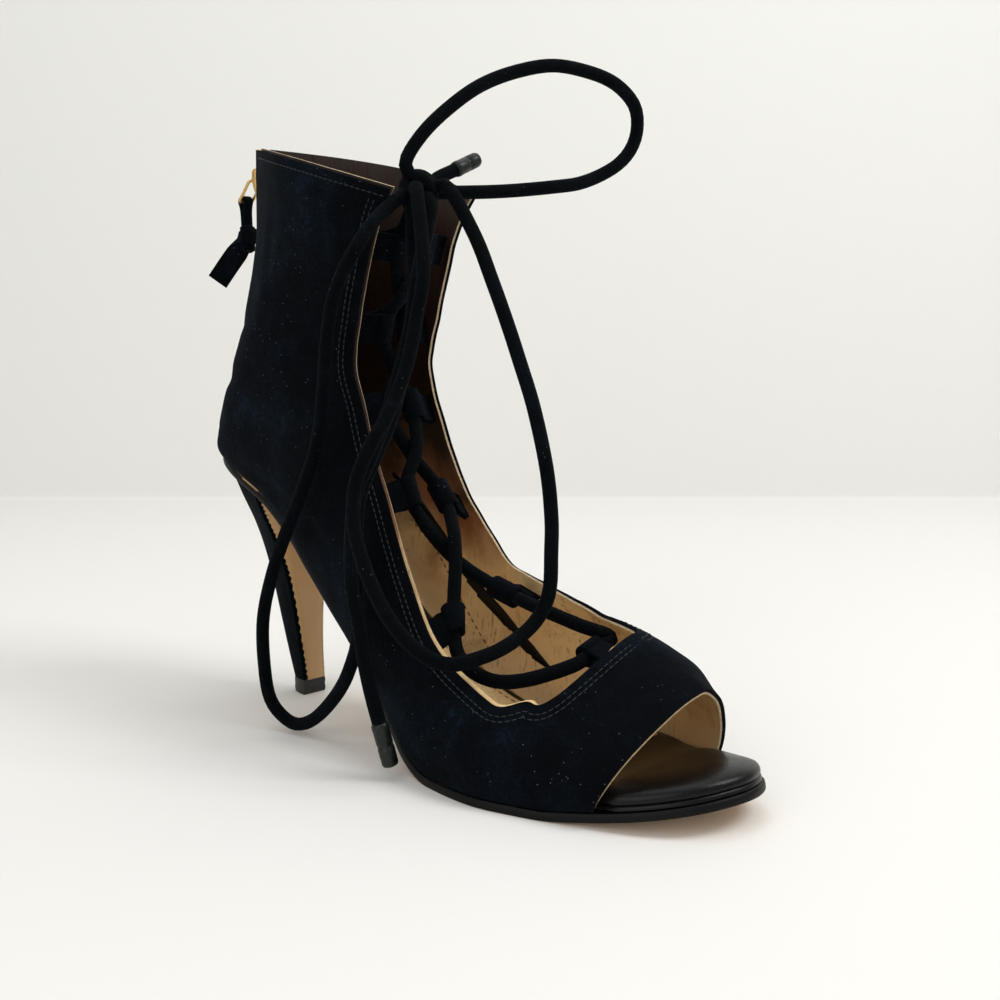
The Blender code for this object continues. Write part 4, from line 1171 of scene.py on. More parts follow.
    def throat_angle(self, place: Any, side: Side) -> Array:
        """Angle where the throat is cut.

        Args:
            place: places among the sections.
            side: half of the shoe.

        Returns:
            Angles, 2 where the vamp is closed.
        """
        place = np.asarray(place, float)
        ridge, wide, flat = self.ridge(place), self.wide[side](place), self.flat[side](place)
        throat = self.cut[side](np.maximum(place, self.throat_row))
        front = np.clip(self.throat_row - place, 0, 1)
        opening = (1 - front**self.squareness) ** (1 / self.squareness)
        throat = ridge + (throat - ridge) * opening
        share = np.clip((throat - ridge) / (wide - ridge), 0, 1)
        angle = 1 + np.arccos(share ** (1 / flat)) / (math.pi / 2)
        return np.where(place <= self.vamp_row, 2.0, angle)

    def start_angle(self, place: Any, side: Side, half_slot: float) -> Array:
        """Angle where a half starts.

        Args:
            place: places among the sections.
            side: half of the shoe.
            half_slot: half the width of the back zip's slot.

        Returns:
            Angles, zero below the slot.
        """
        place = np.asarray(place, float)
        breadth = np.abs(self.wide[side](place) - self.base(place, side)[..., 1])
        return np.where(place <= self.zip_start, 0.0,
                        np.arcsin(half_slot / breadth) / (math.pi / 2))

    def back_frame(self, drop: float) -> tuple[Array, Array, Array]:
        """Place on the back line.

        Args:
            drop: metres below the collar.

        Returns:
            The point, and the outward and the upward vector there.
        """
        places = np.linspace(self.zip_start, self.top, 400)
        line = self.base(places, Side.OUTER)
        i = int(np.searchsorted(line[:, 2], line[-1, 2] - drop))
        up = unit(line[i + 6] - line[i - 6])
        return line[i], np.array([-up[2], 0.0, up[0]]), up


# ---- the shoe's assemblies


@dataclass(frozen=True)
class Crease:
    """Soft trough, or a ridge where the depth is negative, along spots on one half."""

    side: Side
    spots: tuple[tuple[float, float], ...]
    depth: float
    width: float
    gain: float = 1.5

    def height(self, last: Last, points: Array) -> Array:
        """Displacement of points, faded at both ends of the line.

        Args:
            last: the surface that the spots lie on.
            points: the points to move.

        Returns:
            Heights in metres along the surface's normal.
        """
        spots = through(self.spots, 8)
        line = last.point(spots[:, 0], self.side, spots[:, 1])
        best = np.full(len(points), 1e9)
        fade = np.zeros(len(points))
        count = len(line) - 1
        for i in range(count):
            a, b = line[i], line[i + 1]
            along = b - a
            t = np.clip((points - a) @ along / (along @ along), 0, 1)
            distance = np.linalg.norm(points - a - t[:, None] * along, axis=1)
            closer = distance < best
            best[closer] = distance[closer]
            share = (i + t[closer]) / count
            fade[closer] = np.sin(math.pi * np.clip(share, 0.02, 0.98)) ** 0.6
        trough = np.exp(-((best / (self.width * MM)) ** 2))
        return -self.gain * self.depth * MM * trough * fade


@dataclass
class Upper:
    """Suede upper, its lining and their stitches."""

    last: Last
    wear: Wardrobe
    front_crowding: float = 0.833
    outer_rows: int = 12
    outer_columns: int = 56
    inner_rows: int = 8
    inner_columns: int = 34
    suede: float = 0.0011
    lining: float = 0.0006
    half_slot: float = 0.0024
    layer_gap: float = 0.00004
    lining_past: float = 0.0006
    stitch: float = 0.00042
    stitch_lift: float = 0.00005
    seam_step: float = 0.0008
    seam_reach: float = 0.004
    throat_seams: tuple[float, ...] = (0.0030, 0.0046)
    throat_trim: float = 0.006
    collar_seam: float = 0.0026
    zip_seams: tuple[float, ...] = (0.0022, 0.0042)
    end_trim: float = 0.002
    band_width: float = 0.0042
    band_wall: float = 0.0005
    band_lift: float = 0.00035
    band_dome: float = 0.0002
    band_line: tuple[tuple[float, ...], ...] = (
        (21.2, 23.5, 78.2), (33.3, 22.8, 69.6), (41.7, 22.8, 62.8), (52.2, 23.1, 51.8),
        (62.3, 23.4, 43.5), (74.3, 24.3, 35.0), (83.1, 25.5, 27.0), (93.9, 26.9, 19.6))
    band_stitches: tuple[tuple[float, ...], ...] = (
        (32.4, 22.2, 62.8), (44.1, 22.5, 53.5), (52.0, 21.9, 45.2), (61.5, 21.6, 33.4),
        (72.1, 21.3, 22.1))
    # spots, depth and width of each crease
    creases: dict[Side, tuple[tuple[Any, ...], ...]] = field(default_factory=lambda: {
        Side.OUTER: (
            (((2.1, 1.25), (2.7, 0.95), (3.3, 0.7), (3.7, 0.45)), 0.6, 2.4),
            (((1.4, 1.3), (2.2, 0.9), (2.9, 0.6), (3.2, 0.4)), 0.4, 2.0),
            (((3.6, 0.95), (4.2, 0.75), (4.8, 0.6), (5.2, 0.4)), 0.5, 2.2),
            (((1.0, 1.6), (1.4, 1.2), (1.8, 0.8)), 0.35, 2.2),
            (((5.2, 1.3), (5.7, 0.9), (6.4, 0.5)), 0.45, 2.4),
            (((7.2, 1.35), (7.6, 0.95), (8.4, 0.6), (9.2, 0.4)), 0.6, 3.0),
            (((8.6, 1.4), (9.4, 1.05), (10.6, 0.8), (11.6, 0.6)), 0.6, 3.0),
            (((11.4, 1.35), (12.0, 1.0), (12.3, 0.6), (12.2, 0.25)), 0.7, 3.2),
            (((12.6, 1.4), (13.0, 1.0), (13.1, 0.6), (12.9, 0.3)), 0.5, 2.8),
            (((12.9, 1.2), (13.6, 0.9), (14.4, 0.75)), 0.4, 2.6)),
        Side.INNER: (
            (((7.0, 1.3), (7.6, 0.9), (8.6, 0.6)), 0.5, 2.8),
            (((11.0, 1.3), (12.1, 0.9), (12.6, 0.5)), 0.6, 3.0),
            (((2.6, 1.2), (3.2, 0.9), (3.8, 0.5)), 0.5, 2.4)),
    })

    def places(self, per_section: int) -> Array:
        """Places of the rows, closer together at the throat's front and the zip's end.

        Args:
            per_section: rows from one section to the next.

        Returns:
            Places in rising order.
        """
        front = np.cos(np.linspace(0, math.pi / 2, 2 * per_section)) ** self.front_crowding
        rows = list(np.linspace(0, self.last.top, int(self.last.top) * per_section + 1))
        rows += list(self.last.throat_row - front)
        rows += [self.last.zip_start, self.last.zip_start + 0.02]
        rows = np.array(sorted(rows))
        keep = np.concatenate([[True], np.diff(rows) > 0.004])
        return rows[keep]

    def shell(self, per_section: int, columns: int, past: float) -> bmesh.types.BMesh:
        """Welded surface of both halves.

        Args:
            per_section: rows between two sections.
            columns: vertices across a half.
            past: distance in metres that it stands out past the cut edges.

        Returns:
            A bmesh of the surface with its normals outward.
        """
        places = self.places(per_section)
        vertices: list[Array] = []
        faces: list[tuple[int, ...]] = []
        for side in Side:
            start = self.last.start_angle(places, side, self.half_slot)
            front = np.sqrt(np.clip(self.last.throat_row - places, 0, 1)) if past else 0.0
            end = self.last.throat_angle(places - front * past / 0.010, side)
            opened = (1 - front) * (places > self.last.vamp_row)
            end = np.minimum(end + past / 0.040 * opened, 2.0)
            share = np.linspace(0, 1, columns)[None, :]
            angle = start[:, None] + (end - start)[:, None] * share
            grid = self.last.point(places[:, None] + 0 * angle, side, angle)
            if past:
                step = unit(grid[-1] - grid[-2])
                grid = np.concatenate([grid, (grid[-1] + step * past)[None]])
            offset = sum(len(block) for block in vertices)
            faces += grid_faces(len(grid), columns, offset, flip=side is Side.INNER)
            vertices.append(grid.reshape(-1, 3))
        work = welded(np.vstack(vertices), faces)
        farthest = min(work.faces, key=lambda face: face.calc_center_median().y)
        if farthest.normal.y > 0:
            bmesh.ops.reverse_faces(work, faces=work.faces)
        work.normal_update()
        return work

    def relief(self, points: Array) -> Array:
        """Unevenness and creases of the worn shape.

        Args:
            points: the points to move.

        Returns:
            Heights in metres along the surface's normal, none beside the sole.
        """
        low = self.last.under(points[:, 0]) + self.last.seat_lift
        fade = np.clip((points[:, 2] - low) / 0.009, 0, 1)
        height = np.zeros(len(points))
        for side, creases in self.creases.items():
            for spots, depth, width in creases:
                height += Crease(side, spots, depth, width).height(self.last, points)
        for i, point in enumerate(points):
            spot = Vector(point)
            height[i] += 0.0007 * noise.noise(spot * 42.0) + 0.00030 * noise.noise(spot * 120.0)
        return height * fade

    def sheet(self, name: str, work: bmesh.types.BMesh, depth: float, thickness: float,
              materials: Sequence[Any]) -> Piece:
        """Make one leather layer from a shell.

        Args:
            name: object's name.
            work: the shell, whose points are moved.
            depth: metres from the last's surface in to the layer's outside.
            thickness: the layer's wall.
            materials: material of its faces, and of its cut edge where it has its own.

        Returns:
            The layer.
        """
        points = np.array([vertex.co for vertex in work.verts])
        normals = np.array([vertex.normal for vertex in work.verts])
        moved = points + normals * (self.relief(points) - depth)[:, None]
        for vertex, spot in zip(work.verts, moved):
            vertex.co = spot
        mesh = bpy.data.meshes.new(name)
        work.to_mesh(mesh)
        for material in materials:
            mesh.materials.append(material)
        mesh.shade_smooth()
        made = thicken(linked(name, mesh), thickness, level=True, rim=len(materials) - 1)
        made.data.set_sharp_from_angle(angle=math.radians(50))
        return made

    def edge_lines(self) -> dict[str, tuple[Array, Array]]:
        """Cut edges of the upper.

        Returns:
            By the edge's name, its points and as many points a little inside the surface.
        """
        last = self.last
        places = self.places(self.outer_rows)
        throat, inside = [], []
        for side, order in ((Side.OUTER, -1), (Side.INNER, 1)):
            rows = places[places > last.vamp_row][::order]
            angle = last.throat_angle(rows, side)
            throat.append(last.point(rows, side, angle))
            front = np.sqrt(np.clip(last.throat_row - rows, 0, 1))
            inside.append(last.point(rows - 0.25 * front, side, angle - 0.06 * (1 - front)))
        lines = {"throat": (np.vstack(throat), np.vstack(inside))}
        for side in Side:
            start = float(last.start_angle(last.top, side, self.half_slot))
            angle = np.linspace(start, float(last.throat_angle(last.top, side)), 80)
            lines[f"collar_{side.value}"] = (last.point(last.top, side, angle),
                                             last.point(last.top - 0.08, side, angle))
            rows = np.linspace(last.zip_start + 0.03, last.top, 80)
            angle = last.start_angle(rows, side, self.half_slot)
            lines[f"zip_{side.value}"] = (last.point(rows, side, angle),
                                          last.point(rows, side, angle + 0.05))
        return lines

    def seam(self, surface: BVHTree, line: tuple[Array, Array], distance: float, trim: float,
             lift: float) -> Array:
        """Line on the surface at a distance inside a cut edge.

        Args:
            surface: tree of the finished layer.
            line: the edge's points and points inside the surface.
            distance: metres from the edge.
            trim: metres left out at both ends.
            lift: metres above the surface.

        Returns:
            Points at even steps.
        """
        edge, inside = line
        along = headings(edge)
        toward = inside - edge
        toward = unit(toward - along * np.sum(toward * along, axis=1)[:, None])
        rows = []
        for spot in edge + toward * distance:
            near, normal, _, gap = surface.find_nearest(Vector(spot))
            if near is not None and gap < self.seam_reach:
                rows.append(near + normal * lift)
        rows = even(np.array(rows), self.seam_step)
        cut = int(trim / self.seam_step)
        return rows[cut:len(rows) - cut]

    def band(self, surface: BVHTree, stitches: RowTree) -> None:
        """Black leather band and a stitched line low on the inner half's lining.

        Args:
            surface: tree of the lining.
            stitches: the rows' tree.
        """
        rows = []
        line = even(through(np.array(self.band_line) * MM, 10), 0.0012)
        across = unit(np.cross(np.gradient(line, axis=0), TO_INNER))
        order = np.arange(len(line))
        ends = np.minimum(1.0, np.minimum(order, order[::-1]) / 8)
        for share in np.linspace(-1, 1, 7):
            row = []
            for spot, side, size in zip(line, across, 0.25 + 0.75 * ends):
                near, normal, _, _ = surface.find_nearest(
                    Vector(spot + side * share * self.band_width / 2 * size))
                row.append(near + normal * (self.band_lift - self.band_dome * share**2))
            rows.append(row)
        grid = np.array(rows)
        band = mesh_object("lining_band", grid.reshape(-1, 3),
                           grid_faces(grid.shape[0], grid.shape[1]), [self.wear.board],
                           outward=False)
        if max(band.data.polygons, key=lambda face: face.area).normal.y > 0:
            band.data.flip_normals()
        dress(thicken(band, self.band_wall), Slot.BOARD)
        row = []
        for spot in even(through(np.array(self.band_stitches) * MM, 10), 0.001):
            near, normal, _, _ = surface.find_nearest(Vector(spot))
            row.append(near + normal * self.stitch_lift)
        dashes = stitches.lay("band_stitches", [np.array(row)], self.wear.pale_thread,
                              Spacing=0.0026, Length=0.0017, Width=0.00045, Height=0.00045)
        dress(dashes, Slot.LINING)

    def build(self) -> None:
        """Make the layers and the stitches."""
        work = self.shell(self.outer_rows, self.outer_columns, 0.0)
        suede = self.sheet("upper_suede", work, 0.0, self.suede, [self.wear.suede])
        surface = BVHTree.FromBMesh(work)
        work.free()
        dress(suede, Slot.SUEDE, "upper")
        work = self.shell(self.inner_rows, self.inner_columns, self.lining_past)
        lining = self.sheet("upper_lining", work, self.suede + self.layer_gap, self.lining,
                            [self.wear.lining, self.wear.raw_edge])
        inner_surface = BVHTree.FromObject(lining, bpy.context.evaluated_depsgraph_get())
        work.free()
        dress(lining, Slot.LINING)
        lines = self.edge_lines()
        plan = [("throat", distance, self.throat_trim) for distance in self.throat_seams]
        for side in Side:
            plan.append((f"collar_{side.value}", self.collar_seam, self.end_trim))
            plan += [(f"zip_{side.value}", distance, self.end_trim)
                     for distance in self.zip_seams]
        rows = [self.seam(surface, lines[edge], distance, trim, self.stitch_lift)
                for edge, distance, trim in plan]
        stitches = RowTree("stitch_rows")
        outer = stitches.lay("upper_stitches", rows, self.wear.dark_thread, Spacing=0.0020,
                             Length=0.0017, Width=self.stitch, Height=self.stitch)
        dress(outer, Slot.SUEDE)
        self.band(inner_surface, stitches)
        rows = [self.seam(inner_surface, lines["throat"], self.throat_seams[0],
                          self.throat_trim, 0.00002)]
        inner = stitches.lay("lining_stitches", rows, self.wear.pale_thread, Spacing=0.0022,
                             Length=0.0016, Width=0.0004, Height=0.0004)
        dress(inner, Slot.LINING)
        wall = (self.suede + self.lining) / MM
        LOG.info("upper: %d faces, wall %.1f mm", len(suede.data.polygons), wall)


@dataclass
class SoleUnit:
    """Outsole, wrapped board and sock lining."""

    last: Last
    wear: Wardrobe
    outsole: float = 2.5
    board_low: float = 2.8
    board_high: float = 7.3
    sock_high: float = 8.1
    peep_share: float = 0.868
    rim_share: float = 0.895
    board_inset: float = 0.0029
    rim_inset: float = 0.0006
    sock_inset: float = 0.0040
    sock_seam: float = 0.0026
    sock_end: int = 8
    pad_start: float = 0.146
    pad_run: float = 0.014

    def plate(self, name: str, inset: Callable[[Array], Array],
              profile: Spots, materials: Sequence[Any],
              pick: Callable[[Any], int] | None = None,
              stations: int | None = None) -> Piece:
        """Closed plate over the sole.

        Args:
            name: object's name.
            inset: distance of the plate's edge from the sole's edge, by x.
            profile: inset and lift in mm from the underside to the top, and where wanted
                the extra lift of the pad under the toes.
            materials: the plate's materials.
            pick: material index of a face.
            stations: rows from the heel back, all where it is left out.

        Returns:
            The plate.
        """
        count = self.last.stations if stations is None else stations
        blocks = []
        for step, lift, *dome in profile:
            outer, inner = self.last.inset(lambda x: inset(x) + step * MM)
            back = inner[1:count][::-1] if stations is None else inner[1:count + 1][::-1]
            ring = np.vstack([outer[:count + 1], back])
            share = np.clip((ring[:, 0] - self.pad_start) / self.pad_run, 0, 1)
            rise = share * (dome[0] if dome else 0.0)
            blocks.append(self.last.on_sole(ring[:, 0], ring[:, 1], (lift + rise) * MM))
        size = len(blocks[0])
        faces = grid_faces(len(blocks), size, ring=True)
        for level, flip in ((0, True), (len(blocks) - 1, False)):
            base = level * size
            for i in range(count):
                ends = (i, i + 1, size - i - 1, (size - i) % size)
                face = tuple(dict.fromkeys(base + k for k in ends))
                if len(face) > 2:
                    faces.append(face[::-1] if flip else face)
        return mesh_object(name, np.vstack(blocks), faces, materials, sharp=50.0, pick=pick)

    def board_edge(self, x: Array) -> Array:
        """Distance of the board's edge from the sole's edge, less where the rim shows.

        Args:
            x: level places along the shoe.

        Returns:
            Distances in metres.
        """
        low, high = self.last.x_at(self.peep_share), self.last.x_at(self.rim_share)
        share = np.clip((x - low) / (high - low), 0, 1)
        share = share * share * (3 - 2 * share)
        return self.board_inset + (self.rim_inset - self.board_inset) * share

    def build(self) -> None:
        """Make the plates."""
        top = self.outsole
        outsole = self.plate("outsole_leather", lambda x: 0 * x,
                             ((0.45, 0.0), (0.12, 0.1), (0.0, 0.35), (-0.06, top / 2),
                              (0.0, top - 0.3), (0.25, top)),
                             [self.wear.tan, self.wear.edge],
                             lambda face: int(face.normal.z >= -0.55 and not (
                                 abs(face.normal.z) > 0.5 and face.center.x < 0.04
                                 and face.normal.x > 0.2)))
        dress(outsole, Slot.SOLE, "outsole")
        low, high = self.board_low, self.board_high
        board = self.plate("wrapped_board", self.board_edge,
                           ((0.4, low), (0.05, low + 0.15), (0.0, low + 0.9), (0.35, low + 1.25),
                            (0.55, low + 1.4), (0.25, low + 1.55), (0.0, low + 2.1),
                            (0.0, low + 2.9), (0.25, low + 3.6), (0.8, low + 4.1, 0.2),
                            (1.8, low + 4.3, 0.6), (3.2, high, 1.0), (5.5, high, 1.6),
                            (8.5, high, 2.1), (12.0, high, 2.3)), [self.wear.board])
        dress(board, Slot.BOARD, "insole_board")
        base, top = high + 0.05, self.sock_high
        sock = self.plate("sock_leather", lambda x: self.board_edge(x) + self.sock_inset,
                          ((0.2, base), (0.0, base + 0.2), (0.1, base + 0.5), (0.4, top - 0.1),
                           (1.4, top)), [self.wear.sock],
                          stations=self.sock_end * self.last.steps)
        dress(sock, Slot.LINING, "sock_lining")
        seam = self.sock_inset + self.sock_seam
        start, end = 4, self.sock_end * self.last.steps - 8
        rows = [even(self.last.on_sole(*edge[start:end].T, (top + 0.05) * MM), 0.001)
                for edge in self.last.inset(lambda x: self.board_edge(x) + seam)]
        stitches = RowTree("sock_rows").lay("sock_stitches", rows, self.wear.pale_thread,
                                            Spacing=0.0024, Length=0.0017, Width=0.0004,
                                            Height=0.0004)
        dress(stitches, Slot.LINING)
        LOG.info("sole: board %.1f mm thick", high - low)


@dataclass
class Heel:
    """Suede wrapped heel block, tan breast cover and top lift."""

    last: Last
    wear: Wardrobe
    half_tip: float = 0.0046
    # height at breast and back, breast and back x, half width
    rings: tuple[tuple[float, ...], ...] = (
        (0.062, 0.062, 0.0205, -0.0235, 1.00), (0.170, 0.170, 0.0150, -0.0385, 1.12),
        (0.320, 0.330, 0.0095, -0.0575, 1.38), (0.470, 0.490, 0.0055, -0.0735, 1.80),
        (0.580, 0.625, 0.0045, -0.0865, 2.40), (0.675, 0.755, 0.0055, -0.1010, 3.20),
        (0.765, 0.880, 0.0080, -0.1210, 4.10), (0.838, 0.996, 0.0110, -0.1415, 4.75))
    levels: int = 60
    arc: int = 44
    lift_rows: tuple[tuple[float, float], ...] = (
        (0.0, 0.99), (0.0012, 1.03), (0.0026, 1.0), (0.0040, 1.03), (0.00528, 1.0))
    cover: float = 0.0006
    cover_levels: int = 170
    scallops: int = 30
    scallop: float = 0.0006

    def __post_init__(self) -> None:
        """Make smooth curves through the rings."""
        self.curves = [Smooth(range(len(self.rings)), column) for column in zip(*self.rings)]

    def ring(self, at: float) -> Array:
        """D shaped ring of the block.

        Args:
            at: place among the rings of the table.

        Returns:
            Points from the outer side round the back to the inner side.
        """
        breast_z, back_z, breast_x, back_x, half = (float(curve(at)) for curve in self.curves)
        turn = np.linspace(-math.pi / 2, math.pi / 2, self.arc + 1)
        share = np.cos(turn)
        x = (breast_x + (back_x - breast_x) * share) * self.last.length
        z = (breast_z + (back_z - breast_z) * share) * self.last.heel
        roof = self.last.under(x) - 0.00005
        z = roof if at == len(self.rings) - 1 else np.minimum(z, roof - 0.0002)
        return np.stack([x, half * self.half_tip * np.sin(turn), z], axis=1)

    def solid(self, name: str, rings: Sequence[Array], material: Any,
              bevel: float) -> Piece:
        """Closed solid through D rings.

        Args:
            name: object's name.
            rings: points of each ring.
            material: the object's material.
            bevel: width in metres of its rounded edges.

        Returns:
            The solid.
        """
        count = len(rings[0])
        faces = grid_faces(len(rings), count, ring=True)
        for base, flip in ((0, True), ((len(rings) - 1) * count, False)):
            for j in range(count // 2):
                far = count - 1 - j
                face = tuple(dict.fromkeys((base + j, base + j + 1, base + far - 1, base + far)))
                faces.append(face[::-1] if flip else face)
        made = mesh_object(name, np.vstack(rings), faces, [material], sharp=40.0)
        eased(made, bevel, 45.0).data.shade_smooth()
        return made

    def build(self) -> None:
        """Make the block, the cover and the lift."""
        places = np.linspace(0, len(self.rings) - 1, self.levels)
        rings = [self.ring(float(at)) for at in places]
        block = self.solid("heel_suede", rings, self.wear.suede, 0.0005)
        dress(block, Slot.SUEDE, "heel_block")
        tip = rings[0]
        middle = tip.mean(axis=0)
        lift = []
        for z, grow in self.lift_rows:
            row = middle + (tip - middle) * grow
            row[:, 2] = z
            lift.append(row)
        top_lift = self.solid("heel_top_piece", lift, self.wear.lift, 0.0004)
        dress(top_lift, Slot.LIFT, "heel_top_lift")
        self.breast()
        LOG.info("heel: %d rings", len(rings))

    def breast(self) -> None:
        """Tan cover whose outer edge is cut into small scallops by the wrapped suede."""
        random = np.random.default_rng(7)
        count = self.cover_levels
        places = np.linspace(0, len(self.rings) - 1, count)
        waves = np.abs(np.sin(np.linspace(0, self.scallops * math.pi, count)))
        zig = 0.00025 + self.scallop * waves + random.uniform(0, 0.00025, count)
        rows, pale = [], []
        for at, bite in zip(places, zig):
            ring = self.ring(float(at))
            x = ring[0, 0] + 0.0003
            z = min(ring[0, 2], float(self.last.under(x + 0.0009)) - 0.0003)
            low, high = ring[0, 1] + 0.0007 + bite, ring[-1, 1] - 0.0011
            rows += [[(x, y, z) for y in np.linspace(low, high, 6)]]
            pale += [[(x, y, z) for y in (high + 0.0001, high + 0.0005)]]
        for name, grid, material, nodes in (
                ("breast_leather", rows, self.wear.tan, ("heel_breast_cover",)),
                ("breast_edge_line", pale, self.wear.raw_edge, ())):
            grid = np.array(grid)
            faces = grid_faces(grid.shape[0], grid.shape[1])
            made = mesh_object(name, grid.reshape(-1, 3), faces, [material], outward=False)
            if made.data.polygons[0].normal.x < 0:
                made.data.flip_normals()
            dress(thicken(made, self.cover, 0.6), Slot.TAN, *nodes)


def frames_along(path: Array) -> tuple[Array, Array]:
    """Two cross vectors at each point of a path that turn as little as possible.

    Args:
        path: points, one row each.

    Returns:
        The first and the second vector of each point.
    """
    tangents = headings(path)
    side = np.cross(tangents[0], (0.0, 0.31, 0.95))
    sides = []
    for tangent in tangents:
        side = unit(side - tangent * np.dot(side, tangent))
        sides.append(side)
    sides = np.array(sides)
    return sides, np.cross(tangents, sides)


def tube(name: str, path: Array, radius: float, material: Any, step: float = 0.0012,
         sides: int = 14, rough: float = 0.0) -> Piece:
    """Round closed tube along a path with rounded ends.

    Args:
        name: object's name.
        path: points in metres.
        radius: radius in metres.
        material: the tube's material.
        step: distance between its rings.
        sides: points of a ring.
        rough: share of the radius by which it swells and shrinks.

    Returns:
        The tube.
    """
    path = even(np.asarray(path, float), step)
    first, second = frames_along(path)
    turns = np.linspace(0, 2 * math.pi, sides, endpoint=False)
    arc = np.arange(len(path)) * step
    swell = radius * (1 + rough * (np.sin(arc * 700) + 0.6 * np.sin(arc * 1510 + 1.0)))
    tangents = headings(path)
    end, small, bulge = len(path) - 1, 0.55, radius * 0.3
    rings = [(0, small, -bulge), *((k, 1.0, 0.0) for k in range(end + 1)), (end, small, bulge)]
    vertices = []
    for i, size, shift in rings:
        middle = path[i] + tangents[i] * shift
        vertices += [middle + (first[i] * math.cos(t) + second[i] * math.sin(t)) * swell[i] * size
                     for t in turns]
    return mesh_object(name, vertices, tube_faces(len(rings), sides), [material], sharp=60.0)


@dataclass(frozen=True)
class Wrap:
    """Turns of a cord or strip round an axis, in whole turns and millimetres."""

    axis: Triple
    turns: tuple[float, float]
    radii: tuple[float, float]
    shifts: tuple[float, float]

    def path(self, centre: Array, hint: Sequence[float], count: int) -> Array:
        """Points of the turns.

        Args:
            centre: middle of the knot.
            hint: a vector beside the axis, from which the turns' radii are laid out.
            count: number of points.

        Returns:
            Points in metres.
        """
        axis = unit(self.axis)
        side = unit(np.cross(axis, hint))
        up = np.cross(axis, side)
        turn = (np.linspace(*self.turns, count) * 2 * math.pi)[:, None]
        shift = np.linspace(*self.shifts, count)[:, None]
        wide, tall = self.radii
        return (side * np.cos(turn) * wide + up * np.sin(turn) * tall + axis * shift) * MM + centre


